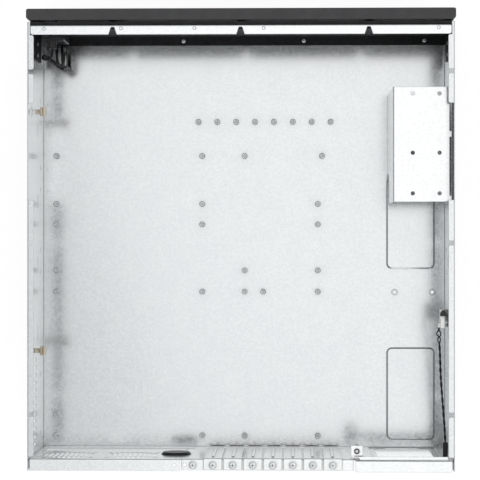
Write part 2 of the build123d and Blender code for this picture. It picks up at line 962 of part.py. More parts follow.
def plate_screw_places():
    """Places of the four screws that hold the power supply plate, in X and Z."""
    xs = (plate_left_x + plate_screw_inset, plate_right_x - plate_right_screw_inset)
    return [(x, z) for x in xs for z in (plate_screw_low, body_height - plate_screw_drop)]


def psu_plate():
    """Plate behind the rear wall that a power supply is screwed to."""
    section = folded([
        (rear_outer_y, plate_bottom),
        (rear_outer_y, body_height),
        (rear_face_y, body_height),
    ])
    plate = along_x(section, plate_left_x, plate_right_x)
    corners = plate.edges().filter_by(Axis.Z).filter_by_position(Axis.Y, rear_face_y, rear_face_y)
    plate = fillet(corners, plate_corner_radius)
    middle = plate_middle()
    cut = chamfer(Rectangle(psu_cut_width, psu_cut_height).vertices(), psu_cut_corner)
    holes = [Pos(psu_middle_x, middle) * cut]
    for side in (-psu_hole_width / 2, psu_hole_width / 2):
        for level in (-psu_hole_height / 2, psu_hole_height / 2):
            holes.append(Pos(psu_middle_x + side, middle + level) * Circle(psu_hole_radius))
    for x, z in plate_screw_places():
        holes.append(Pos(x, z) * Circle(plate_shank_radius + running_gap))
    return plate - along_y(Sketch() + holes, rear_outer_y - sheet - overrun, rear_outer_y + overrun)


def plate_middle():
    """Height of the power supply's middle."""
    return plate_bottom + psu_opening_height / 2


def psu_plate_screws():
    """Four pan screws on the outer face of the power supply plate."""
    screw = pan_screw(
        plate_head_radius, plate_head_height, plate_shank_radius - running_gap,
        plate_shank_length,
    )
    seat = rear_outer_y - sheet
    return [Pos(x, seat, z) * Rot(90, 0, 0) * screw for x, z in plate_screw_places()]


def clinch_nut():
    """Nut pressed into the tab beside the power supply, for a lid screw."""
    top = body_height - nut_tab_drop
    y = rear_inner_y + nut_hole_from_wall
    nut = rod_z(nut_tab_x, y, top - sheet, top, nut_hole_radius)
    nut += rod_z(nut_tab_x, y, top, top + rivet_head_height, nut_hole_radius + rivet_head_height)
    return nut - rod_z(
        nut_tab_x, y, top - sheet - overrun, top + overrun + rivet_head_height, collar_hole_radius
    )


def standoff():
    """Round threaded standoff, with its foot at the origin."""
    post = rod_z(0, 0, 0, standoff_height, standoff_radius)
    return post - rod_z(
        0, 0, standoff_height - standoff_hole_depth, standoff_height + overrun,
        standoff_hole_radius,
    )


def standoff_places():
    """Places of the board standoffs, row by row from the rear wall."""
    io_x = mid_column_x - atx_mid_to_io
    slot_x = mid_column_x + atx_mid_to_slot
    micro_x = mid_column_x + atx_mid_to_micro
    row_b = rear_row_y + atx_row_b
    row_d = rear_row_y + atx_row_d
    rows = (
        (rear_row_y, (io_x, mid_column_x, micro_x, slot_x)),
        (rear_row_y + row_a2_step, (io_x,)),
        (row_b, (io_x, mid_column_x, micro_x, micro_x + extra_column_step, slot_x)),
        (row_b + row_c_step, (io_x, micro_x, slot_x)),
        (row_d, (io_x, mid_column_x, slot_x)),
        (row_d + row_e_step, (io_x, mid_column_x, slot_x)),
        (row_f_share * case_depth, (io_x, mid_column_x, micro_x, slot_x + wide_column_step)),
    )
    return [(x, y) for y, xs in rows for x in xs]


def board_standoffs():
    """Standoffs that carry the board."""
    return [Pos(x, y, floor_top) * standoff() for x, y in standoff_places()]


def card_row_standoffs():
    """Row of standoffs in line with the card slots, for a card holder."""
    y = card_row_share * case_depth
    xs = [spare_slot_x] + slot_xs()
    return [Pos(x, y, floor_top) * standoff() for x in xs]


def front_stretch(left, right):
    """Front sheet with its bottom lip to the rear and its top lip to the front."""
    section = folded([
        (front_inner_y - front_bottom_lip, floor_top),
        (front_outer_y, floor_top),
        (front_outer_y, body_height - front_sheet),
        (lip_front_y, body_height - front_sheet),
    ], front_sheet)
    return along_x(section, left, right)


def boss_places():
    """Places of the bezel's screw bosses, in X and Z."""
    between = [x - grille_column_pitch / 2 for x in grille_xs()[::2]]
    return [(x, z) for x in between for z in (boss_low, boss_high)]


def lamp_places():
    """Places of the two indicator lenses, in X and Z."""
    half = lamp_pitch / 2
    return [(control_x - half, lamp_height), (control_x + half, lamp_height)]


def grille_xs():
    """Middles of the grille's columns."""
    start = grille_left_x + grille_slot_length / 2
    return [start + step * grille_column_pitch for step in range(grille_columns)]


def front_openings():
    """Openings of the front sheet as one sketch in X and Z."""
    height = grille_high - grille_low + grille_slot_width
    window = Rectangle(grille_slot_length - window_margin, height - window_margin)
    shapes = [Pos(x, (grille_low + grille_high) / 2) * window for x in grille_xs()]
    for x, z in boss_places():
        shapes.append(Pos(x, z) * Circle(bezel_screw_radius + running_gap))
    shapes.append(Pos(control_x, power_height) * Circle(power_stem_radius + stem_clearance))
    shapes.append(Pos(control_x, reset_height) * Circle(reset_stem_radius + stem_clearance))
    for x, z in lamp_places():
        shapes.append(Pos(x, z) * Circle(lamp_radius + running_gap))
    for z in module_screw_heights():
        shapes.append(Pos(module_middle_x(), z) * Circle(module_screw_radius))
    return Sketch() + shapes


def front_panel():
    """Front sheet with lips and side flanges."""
    half = inner_wall_x - front_side_gap
    panel = front_stretch(-half, half)
    for side in (-1, 1):
        edge = side * (half + overrun)
        inner = side * (wall_x - front_lip_inset)
        panel -= block(
            min(edge, inner), max(edge, inner), front_inner_y - overrun, lip_front_y + overrun,
            body_height - 2 * bend_drop, body_height + overrun,
        )
        foot = side * (inner_wall_x - bend_radius)
        panel -= block(
            min(edge, foot), max(edge, foot),
            front_inner_y - front_bottom_lip - overrun, front_outer_y + overrun,
            floor_top - overrun, floor_top + bend_radius,
        )
    panel -= block(
        -half - overrun, -half + front_lip_cut,
        front_inner_y - front_bottom_lip - overrun, front_inner_y - bend_radius,
        floor_top - overrun, floor_top + front_sheet + overrun,
    )
    flange = block(
        -half, -half + front_sheet, front_inner_y - front_side_flange, front_inner_y,
        front_side_flange_bottom, body_height - 2 * bend_drop,
    )
    panel += both_sides(flange)
    panel -= along_y(front_openings(), front_inner_y - overrun, front_outer_y + overrun)
    for x in lip_rivet_xs():
        panel -= rod_z(
            x, front_inner_y - lip_rivet_inset,
            floor_top - overrun, floor_top + front_sheet + overrun, rivet_body_radius,
        )
    for z in (side_rivet_low, side_rivet_high):
        for inset in (side_rivet_front_inset, side_rivet_rear_inset):
            hole = rod_x(
                -inner_wall_x, -half + front_sheet + overrun,
                front_inner_y - inset, z, rivet_body_radius,
            )
            panel -= both_sides(hole)
    for step in (-1, 0, 1):
        panel -= rod_y(
            step * rail_notch_pitch, front_inner_y - overrun, front_outer_y + overrun,
            body_height - rail_rivet_drop, rivet_body_radius,
        )
    return panel


def rail_notch(x):
    """Tapered notch from the rail's rear edge, rounded at its tip."""
    outline = Polyline(
        (x - rail_notch_mouth / 2, rail_rear_y - overrun),
        (x - rail_notch_tip / 2, rail_rear_y + rail_notch_length),
        (x + rail_notch_tip / 2, rail_rear_y + rail_notch_length),
        (x + rail_notch_mouth / 2, rail_rear_y - overrun),
        close=True,
    )
    face = make_face(outline)
    tips = face.vertices().group_by(Axis.Y)[-1]
    face = fillet(tips, rail_notch_round)
    notch = extrude(Pos(0, 0, body_height - sheet - overrun) * face, sheet + 2 * overrun)
    return notch


def front_rail():
    """Galvanised rail across the front, behind the front sheet."""
    section = folded([
        (front_inner_y, body_height - rail_drop),
        (front_inner_y, body_height),
        (rail_rear_y, body_height),
    ])
    half = wall_x - rail_end_inset
    rail = along_x(section, -half, half)
    corners = rail.edges().filter_by(Axis.Z).filter_by_position(Axis.Y, rail_rear_y, rail_rear_y)
    rail = fillet(corners, flange_corner_radius)
    for step in (-1, 0, 1):
        x = step * rail_notch_pitch
        rail -= rail_notch(x)
        rail -= rod_y(
            x, front_inner_y - sheet - overrun, front_inner_y + overrun,
            body_height - rail_rivet_drop, rivet_body_radius,
        )
    dimple_y = front_inner_y - rail_dimple_inset
    for share in rail_dimple_shares:
        rail -= rod_z(
            share * body_width, dimple_y,
            body_height - rail_dimple_depth, body_height + overrun, rail_dimple_radius,
        )
    return rail


def rivet(grip):
    """Rivet with its head on the origin's plane, pointing down through a grip."""
    half = [
        (0, -grip),
        (rivet_body_radius, -grip),
        (rivet_body_radius, 0),
        (rivet_head_radius, 0),
        (rivet_head_radius, rivet_head_height),
        (0, rivet_head_height),
    ]
    return revolve(Plane.XZ * make_face(Polyline(*half, close=True)), Axis.Z)


def lip_rivets():
    """Rivets through the front sheet's bottom lip and the floor."""
    top = floor_top + front_sheet
    y = front_inner_y - lip_rivet_inset
    return [Pos(x, y, top) * rivet(top) for x in lip_rivet_xs()]


def side_rivets():
    """Rivets through the front sheet's side flanges and the side walls."""
    seat = inner_wall_x - front_side_gap - front_sheet
    rivets = []
    for z in (side_rivet_low, side_rivet_high):
        for inset in (side_rivet_front_inset, side_rivet_rear_inset):
            y = front_inner_y - inset
            rivets.append(Pos(-seat, y, z) * Rot(0, 90, 0) * rivet(wall_x - seat))
            rivets.append(Pos(seat, y, z) * Rot(0, -90, 0) * rivet(wall_x - seat))
    return rivets


def rail_rivets():
    """Rivets that hold the rail to the front sheet, one below each notch."""
    z = body_height - rail_rivet_drop
    grip = sheet + front_sheet
    seat = front_inner_y - sheet
    return [
        Pos(step * rail_notch_pitch, seat, z) * Rot(90, 0, 0) * rivet(grip)
        for step in (-1, 0, 1)
    ]


def front_bezel():
    """Moulded front bezel, hollow behind, with grille and control openings."""
    plan = Rectangle(bezel_width, bezel_depth)
    plan = fillet(plan.vertices().group_by(Axis.Y)[-1], bezel_corner_radius)
    plan = chamfer(plan.vertices().group_by(Axis.Y)[0], bezel_back_chamfer)
    bezel = extrude(Pos(0, front_face_y - bezel_depth / 2, 0) * plan, bezel_height)
    bezel -= block(
        -bezel_width / 2 + bezel_wall + bezel_back_chamfer,
        bezel_width / 2 - bezel_wall - bezel_back_chamfer,
        bezel_back_y - overrun, bezel_inner_y, bezel_wall, bezel_height - bezel_wall,
    )
    for x, z in boss_places():
        bezel += rod_y(x, front_outer_y, bezel_inner_y, z, boss_radius)
        bezel -= rod_y(
            x, front_outer_y - overrun, front_outer_y + boss_hole_depth, z, boss_hole_radius
        )
    slots = Sketch() + [
        Pos(x, grille_low + row * grille_row_pitch)
        * Rectangle(grille_slot_length, grille_slot_width)
        for x in grille_xs()
        for row in range(grille_rows)
    ]
    bezel -= along_y(slots, bezel_inner_y - overrun, front_face_y + overrun)
    recess = Pos(control_x, control_recess_middle) * RectangleRounded(
        control_recess_width, control_recess_height, control_recess_radius
    )
    bezel -= along_y(recess, front_face_y - control_recess_depth, front_face_y + overrun)
    openings = [
        Pos(control_x, power_height) * Circle(power_cap_radius + running_gap),
        Pos(control_x, reset_height) * Circle(reset_cap_radius + running_gap),
    ]
    for x, z in lamp_places():
        openings.append(Pos(x, z) * Circle(lamp_radius + running_gap))
    return bezel - along_y(Sketch() + openings, bezel_inner_y - overrun, front_face_y + overrun)


def bezel_screws():
    """Screws from inside the case into the bezel's bosses."""
    screw = pan_screw(
        bezel_screw_head_radius, bezel_screw_head_height, bezel_screw_radius,
        bezel_screw_length,
    )
    return [Pos(x, front_inner_y, z) * Rot(90, 0, 0) * screw for x, z in boss_places()]


def module_middle_x():
    """Middle of the control module along X."""
    return (module_left_x + module_right_x) / 2


def module_front_bore(stem_radius, height):
    """Bore in the module that a button's stem slides in."""
    depth = stem_engagement + button_travel + button_travel_spare
    return rod_y(
        control_x, front_inner_y - depth, front_inner_y + overrun, height,
        stem_radius + running_gap,
    )


def push_button(height, cap_radius, stem_radius):
    """Button cap with a crowned face, a stop flange and a stem into the module."""
    cap_front = front_face_y - control_recess_depth
    flange_front = bezel_inner_y - button_rest_gap
    flange_rear = flange_front - cap_flange_height
    stem_end = front_inner_y - stem_engagement
    half = [
        (0, cap_front),
        (cap_radius - button_crown, cap_front),
        (cap_radius, cap_front - button_crown),
        (cap_radius, flange_front),
        (cap_radius + cap_flange_step, flange_front),
        (cap_radius + cap_flange_step, flange_rear),
        (stem_radius, flange_rear),
        (stem_radius, stem_end),
        (0, stem_end),
    ]
    button = revolve(make_face(Polyline(*half, close=True)), Axis.Y)
    return Pos(control_x, 0, height) * button


def indicator_lenses():
    """Two clear light pipes from the module to the bezel's face."""
    front = front_face_y - control_recess_depth
    return [rod_y(x, front_inner_y, front, z, lamp_radius) for x, z in lamp_places()]


def module_screw_heights():
    """Heights of the module's two screws, one in each ear."""
    return (
        module_bottom - module_ear_height / 2,
        module_top + module_ear_height / 2,
    )


def control_module():
    """Moulded housing of the front switches, with an ear above and below."""
    rear = front_inner_y - module_depth
    body = block(module_left_x, module_right_x, rear, front_inner_y, module_bottom, module_top)
    body = fillet(body.edges().filter_by(Axis.Z).group_by(Axis.Y)[0], module_round)
    ears = block(
        module_left_x + module_round, module_right_x - module_round,
        front_inner_y - module_ear_depth, front_inner_y,
        module_bottom - module_ear_height, module_top + module_ear_height,
    )
    body += ears
    body -= module_front_bore(power_stem_radius, power_height)
    body -= module_front_bore(reset_stem_radius, reset_height)
    for z in module_screw_heights():
        body -= rod_y(
            module_middle_x(), front_inner_y - module_ear_depth - overrun,
            front_inner_y + overrun, z, module_screw_radius,
        )
    return body


def module_screws():
    """Two small screws through the module's ears into the front sheet."""
    screw = pan_screw(
        module_screw_head_radius, module_screw_head_height, module_screw_radius - running_gap,
        module_ear_depth + front_sheet,
    )
    seat = front_inner_y - module_ear_depth
    return [
        Pos(module_middle_x(), seat, z) * Rot(90, 0, 0) * screw
        for z in module_screw_heights()
    ]


def module_plug():
    """Plug of the front leads in the rear of the control module."""
    front = front_inner_y - module_depth
    plug = block(
        module_plug_middle_x - module_plug_width / 2,
        module_plug_middle_x + module_plug_width / 2,
        front - module_plug_depth, front,
        module_plug_middle_height - module_plug_height / 2,
        module_plug_middle_height + module_plug_height / 2,
    )
    return fillet(plug.edges().filter_by(Axis.Y), module_plug_round)


def front_lead_hank():
    """Outer shape of the coiled length of the front leads."""
    rear = hank_front_y - hank_width
    outline = Pos((rear + hank_front_y) / 2, hank_bottom + hank_height / 2) * (
        Rot(0, 0, 90) * SlotOverall(hank_height, hank_width)
    )
    hank = along_x(outline, hank_left_x, hank_right_x())
    return fillet(hank.edges(), hank_round)


def hank_right_x():
    """Right side of the coil, whose turns lie side by side."""
    return hank_left_x + hank_turns * 2 * front_lead_radius


def front_lead_tie():
    """Tie around the coil, with its lock on the rear side."""
    left = hank_left_x - hank_tie_thickness
    right = hank_right_x() + hank_tie_thickness
    rear = hank_front_y - hank_width - hank_tie_thickness
    front = hank_front_y + hank_tie_thickness
    low = hank_tie_height - hank_tie_width / 2
    high = hank_tie_height + hank_tie_width / 2
    band = block(left, right, rear, front, low, high)
    band = fillet(band.edges().filter_by(Axis.Z), hank_round + hank_tie_thickness)
    middle = (left + right) / 2
    band += block(
        middle - hank_tie_head / 2, middle + hank_tie_head / 2,
        rear - hank_tie_head / 2, rear + hank_tie_thickness / 2,
        hank_tie_height - hank_tie_head / 2, hank_tie_height + hank_tie_head / 2,
    )
    return band - front_lead_hank()


def header_plug():
    """Far plug of the front leads, which stands on the front sheet's lip."""
    x, y, top = lower_tail_points[-1]
    bottom = top - header_plug_height
    plug = block(
        x - header_plug_width / 2, x + header_plug_width / 2,
        y - header_plug_depth / 2, y + header_plug_depth / 2, bottom, top,
    )
    return fillet(plug.edges().filter_by(Axis.Z), module_plug_round)


def cable_saddle(middle):
    """Nylon saddle on a lanced tab: base, open ring and the pin through the tab."""
    start = -inner_wall_x + tab_length - saddle_tongue
    ring_left = -inner_wall_x + tab_length + saddle_offset
    base_top = tab_height + saddle_base
    base = block(
        start, ring_left + saddle_width, middle - tab_width / 2, middle + tab_width / 2,
        tab_height, base_top,
    )
    ring_middle = ring_left + saddle_width / 2
    outer = Pos(ring_middle, base_top + saddle_height / 2) * RectangleRounded(
        saddle_width, saddle_height, saddle_wall * 2
    )
    inner = Pos(ring_middle, base_top + saddle_height / 2) * RectangleRounded(
        saddle_width - 2 * saddle_wall, saddle_height - 2 * saddle_wall, saddle_wall
    )
    mouth = Pos(ring_middle, base_top + saddle_height) * Rectangle(saddle_mouth, 3 * saddle_wall)
    ring = along_y(outer - inner - mouth, middle - saddle_length / 2, middle + saddle_length / 2)
    hole_x = -inner_wall_x + tab_length - tab_hole_inset
    pin = rod_z(
        hole_x, middle, tab_height - saddle_pin_length, base_top + saddle_base,
        tab_hole_radius - running_gap,
    )
    return base + ring + pin


def wall_screw_lift():
    """Height of the switch bracket's wall screws above its lower edge."""
    return (switch_bracket_web - switch_bracket_foot) / 2


def switch_screw_ys():
    """Places of the switch bracket's two wall screws along Y."""
    return (
        switch_front_y - switch_length / 4,
        switch_front_y - 3 * switch_length / 4,
    )


def switch_bracket():
    """Folded bracket on the right wall that carries the lid switch."""
    plate_x = switch_left_x + switch_body_width + sheet
    section = folded([
        (inner_wall_x, switch_bracket_foot),
        (inner_wall_x, switch_bracket_web),
        (plate_x, switch_bracket_web),
        (plate_x, switch_bracket_top),
    ])
    bracket = along_y(section, switch_front_y - switch_length, switch_front_y)
    for y in switch_screw_ys():
        bracket -= rod_x(
            inner_wall_x - sheet - overrun, inner_wall_x + overrun, y,
            switch_bracket_foot + wall_screw_lift(), wall_screw_radius,
        )
        bracket -= rod_z(
            switch_web_hole_x, y, switch_bracket_web - sheet - overrun,
            switch_bracket_web + overrun, switch_web_hole_radius,
        )
    bracket -= block(
        plate_x - sheet - overrun, plate_x + overrun,
        switch_front_y - switch_guide_length, switch_front_y + overrun,
        switch_guide_top, switch_bracket_top + overrun,
    )
    for z in (switch_screw_low, switch_screw_high):
        bracket -= rod_x(
            plate_x - sheet - overrun, plate_x + overrun, switch_screw_line(), z,
            switch_screw_radius,
        )
    return bracket


def switch_screw_line():
    """Place of the switch's own screws along Y."""
    return switch_front_y - switch_guide_length - (switch_length - switch_guide_length) / 2


def switch_bracket_screws():
    """Two screws that hold the switch bracket to the right wall, from inside."""
    screw = pan_screw(
        wall_screw_head_radius, wall_screw_head_height, wall_screw_radius - running_gap,
        2 * sheet,
    )
    seat = inner_wall_x - sheet
    z = switch_bracket_foot + wall_screw_lift()
    return [Pos(seat, y, z) * Rot(0, -90, 0) * screw for y in switch_screw_ys()]


def switch_body():
    """Body of the lid switch, with the plunger's guide at its front end."""
    right = switch_left_x + switch_body_width
    guide_rear = switch_front_y - switch_guide_length
    rear = switch_front_y - switch_length
    body = block(switch_left_x, right, rear, guide_rear, switch_body_bottom, switch_body_top)
    body += block(
        switch_left_x, right, guide_rear, switch_front_y, switch_body_bottom, switch_guide_top
    )
    body += block(
        switch_left_x - switch_terminal_depth, switch_left_x,
        rear, rear + switch_terminal_height,
        switch_body_bottom, switch_body_bottom + switch_terminal_height,
    )
    stem_y = switch_front_y - switch_guide_length / 2
    body -= rod_z(
        (switch_left_x + right) / 2, stem_y,
        switch_guide_top - switch_stem_depth - switch_travel - switch_bore_spare,
        switch_guide_top + overrun,
        switch_stem_radius + running_gap,
    )
    for z in (switch_screw_low, switch_screw_high):
        body -= rod_x(
            switch_left_x - overrun, right + overrun, switch_screw_line(), z,
            switch_screw_radius + running_gap,
        )
    return body


def switch_plunger():
    """Sprung plunger that the lid presses down."""
    stem_x = switch_left_x + switch_body_width / 2
    stem_y = switch_front_y - switch_guide_length / 2
    left = switch_left_x - switch_plunger_offset
    right = left + switch_plunger_width
    rear = switch_front_y - switch_guide_length + 2 * running_gap
    length = switch_front_y - rear
    tip = switch_plunger_front_share * switch_plunger_width
    outline = Polyline(
        (left, rear),
        (right, rear),
        (right, rear + length / 2),
        (right - tip, switch_front_y),
        (left + tip, switch_front_y),
        (left, rear + length / 2),
        close=True,
    )
    low = switch_plunger_bottom
    head = extrude(Pos(0, 0, low) * make_face(outline), switch_plunger_top - low)
    stem = rod_z(
        stem_x, stem_y, switch_guide_top - switch_stem_depth, low, switch_stem_radius
    )
    return head + stem


def switch_screws():
    """Two small screws through the switch into its bracket."""
    screw = pan_screw(
        switch_screw_head_radius, switch_screw_head_height, switch_screw_radius,
        switch_body_width + sheet,
    )
    return [
        Pos(switch_left_x, switch_screw_line(), z) * Rot(0, -90, 0) * screw
        for z in (switch_screw_low, switch_screw_high)
    ]


def switch_lead_plug():
    """Two-way plug at the far end of the switch lead, up against the rear wall."""
    x, y, z = switch_lead_points[-1]
    plug = block(
        x - lead_plug_width / 2, x + lead_plug_width / 2, y - lead_plug_length, y,
        z - lead_plug_height / 2, z + lead_plug_height / 2,
    )
    return fillet(plug.edges().filter_by(Axis.Y), lead_plug_round)


def bracket_screw_places():
    """Places of the drive bracket's wall screws, in Y and Z."""
    ys = (bracket_rear_y + bracket_screw_end_gap, bracket_front_y - bracket_screw_end_gap)
    return [(y, z) for y in ys for z in (bracket_screw_low, bracket_screw_high)]


def drive_bracket():
    """Drive bracket with its holes, relief slots, lips and cable arch."""
    section = folded([
        (inner_wall_x - bracket_foot, floor_top),
        (inner_wall_x, floor_top),
        (inner_wall_x, bracket_top),
        (bracket_left_x, bracket_top),
        (bracket_left_x, floor_top),
        (bracket_left_x + bracket_foot, floor_top),
    ])
    bracket = along_y(section, bracket_rear_y, bracket_front_y)
    for y0, y1 in (
        (bracket_rear_y - overrun, bracket_rear_y + bracket_foot_rear_gap),
        (bracket_front_y - bracket_foot_front_gap, bracket_front_y + overrun),
    ):
        bracket -= block(
            bracket_left_x + bend_drop, inner_wall_x - bend_drop, y0, y1,
            floor_top - overrun, floor_top + sheet + overrun,
        )
    arch = Pos(bracket_rear_y, floor_top) * RectangleRounded(
        2 * bracket_arch_length, 2 * bracket_arch_height, bracket_arch_radius
    )
    bracket -= along_x(arch, bracket_left_x - overrun, bracket_left_x + bend_drop)
    lip_left = bracket_left_x + bend_drop
    lip_right = inner_wall_x - bend_drop
    lip_low = bracket_top - bracket_lip
    bracket += block(
        lip_left, lip_right, bracket_rear_y, bracket_rear_y + sheet, lip_low, bracket_top
    )
    bracket += block(
        lip_left, lip_right, bracket_front_y - sheet, bracket_front_y, lip_low, bracket_top
    )
    top_low = bracket_top - sheet - overrun
    top_high = bracket_top + overrun
    row = bracket_rear_y + bracket_rear_row_gap
    rows = (row, row + drive_hole_rear, row + drive_hole_rear + drive_hole_front)
    column = bracket_left_x + bracket_near_column_gap
    for x in (column, column + drive_pitch):
        for y in rows:
            bracket -= rod_z(x, y, top_low, top_high, bracket_hole_radius)
    bridge = bracket_rear_y + bracket_slot_bridge_gap
    half_bridge = bracket_slot_bridge / 2
    slot_right = inner_wall_x - bracket_slot_wall_gap
    for y0, y1 in (
        (bracket_rear_y + bracket_slot_end_gap, bridge - half_bridge),
        (bridge + half_bridge, bracket_front_y - bracket_slot_end_gap),
    ):
        bracket -= block(slot_right - bracket_slot_width, slot_right, y0, y1, top_low, top_high)
    for y, z in bracket_screw_places():
        bracket -= rod_x(
            inner_wall_x - sheet - overrun, inner_wall_x + overrun, y, z, wall_screw_radius
        )
    return bracket


def drive_bracket_screws():
    """Four low-headed screws through the right wall into the drive bracket."""
    screw = pan_screw(
        wall_screw_head_radius, bracket_head_height, wall_screw_radius - running_gap,
        2 * sheet,
    )
    return [
        Pos(wall_x, y, z) * Rot(0, 90, 0) * screw for y, z in bracket_screw_places()
    ]


def save(name, pieces):
    """Write one node, made of one solid or of a group of like solids."""
    solids = list(pieces) if isinstance(pieces, (list, tuple)) else [pieces]
    shapes = [solid for piece in solids for solid in piece.solids()]
    export_step(Compound(children=shapes, label=name), os.path.join("parts", name + ".step"))


def main():
    """Build every node and write its file."""
    os.makedirs("parts", exist_ok=True)
    save("base_tray", base_tray())
    save("rear_panel", rear_panel())
    save("psu_plate", psu_plate())
    save("psu_plate_screws", psu_plate_screws())
    save("front_panel", front_panel())
    save("front_rail", front_rail())
    save("front_bezel", front_bezel())
    save("bezel_screws", bezel_screws())
    save("lip_rivets", lip_rivets())
    save("side_rivets", side_rivets())
    save("rail_rivets", rail_rivets())
    for number, x in enumerate(slot_xs(), start=1):
        save("slot_cover_" + str(number), slot_cover(x))
    save("slot_screws", slot_screws())
    save("blanking_plug", blanking_plug())
    save("clinch_nut", clinch_nut())
    save("board_standoffs", board_standoffs())
    save("card_row_standoffs", card_row_standoffs())
    save("drive_bracket", drive_bracket())
    save("drive_bracket_screws", drive_bracket_screws())
    front_tab, rear_tab = tab_places()
    save("cable_saddle_front", cable_saddle(front_tab))
    save("cable_saddle_rear", cable_saddle(rear_tab))
    save("power_button", push_button(power_height, power_cap_radius, power_stem_radius))
    save("reset_button", push_button(reset_height, reset_cap_radius, reset_stem_radius))
    save("indicator_lenses", indicator_lenses())
    save("control_module", control_module())
    save("module_screws", module_screws())
    save("front_lead_plug", module_plug())
    save("front_lead_upper", round_cord(upper_tail_points, front_lead_radius, "front_lead_upper"))
    save("front_lead_hank", front_lead_hank())
    save("front_lead_tie", front_lead_tie())
    save("front_lead_lower", round_cord(lower_tail_points, front_lead_radius, "front_lead_lower"))
    save("front_lead_header", header_plug())
    save("switch_bracket", switch_bracket())
    save("switch_bracket_screws", switch_bracket_screws())
    save("switch_body", switch_body())
    save("switch_screws", switch_screws())
    save("switch_plunger", switch_plunger())
    save("switch_lead", round_cord(switch_lead_points, switch_lead_radius, "switch_lead"))
    save("switch_lead_plug", switch_lead_plug())


main()
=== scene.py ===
"""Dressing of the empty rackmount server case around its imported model."""

from __future__ import annotations

import json
import logging
import math
from dataclasses import dataclass, field
from enum import Enum

import bmesh
import bpy
from mathutils import Matrix, Vector


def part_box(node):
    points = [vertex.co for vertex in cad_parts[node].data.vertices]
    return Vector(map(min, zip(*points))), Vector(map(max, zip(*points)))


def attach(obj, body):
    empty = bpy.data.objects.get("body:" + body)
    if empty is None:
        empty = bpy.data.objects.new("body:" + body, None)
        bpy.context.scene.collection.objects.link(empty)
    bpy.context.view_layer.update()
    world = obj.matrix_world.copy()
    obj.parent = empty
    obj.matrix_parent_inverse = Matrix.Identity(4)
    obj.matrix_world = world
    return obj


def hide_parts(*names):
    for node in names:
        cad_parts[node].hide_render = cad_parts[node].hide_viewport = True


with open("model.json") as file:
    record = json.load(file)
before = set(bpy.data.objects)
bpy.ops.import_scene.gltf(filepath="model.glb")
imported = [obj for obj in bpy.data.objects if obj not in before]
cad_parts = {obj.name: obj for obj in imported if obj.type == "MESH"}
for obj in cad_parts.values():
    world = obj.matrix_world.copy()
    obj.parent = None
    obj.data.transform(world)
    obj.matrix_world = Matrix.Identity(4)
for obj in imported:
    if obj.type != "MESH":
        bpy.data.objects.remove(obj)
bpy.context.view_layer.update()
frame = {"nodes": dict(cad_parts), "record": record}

MM = 0.001
WELD = 1e-6
TURNED_WELD = 1e-7
ROOT = "root"
MIX_SHARE, MIX_FIRST, MIX_SECOND, MIX_RESULT = 0, 6, 7, 2
log = logging.getLogger("server_case")

Colour = tuple[float, float, float]
Point = tuple[float, float, float]


class Facing(Enum):
    """Direction that a fastener's head points."""

    UP = (0.0, 0.0, 1.0)
    REAR = (0.0, -1.0, 0.0)
    LEFT = (-1.0, 0.0, 0.0)
    RIGHT = (1.0, 0.0, 0.0)


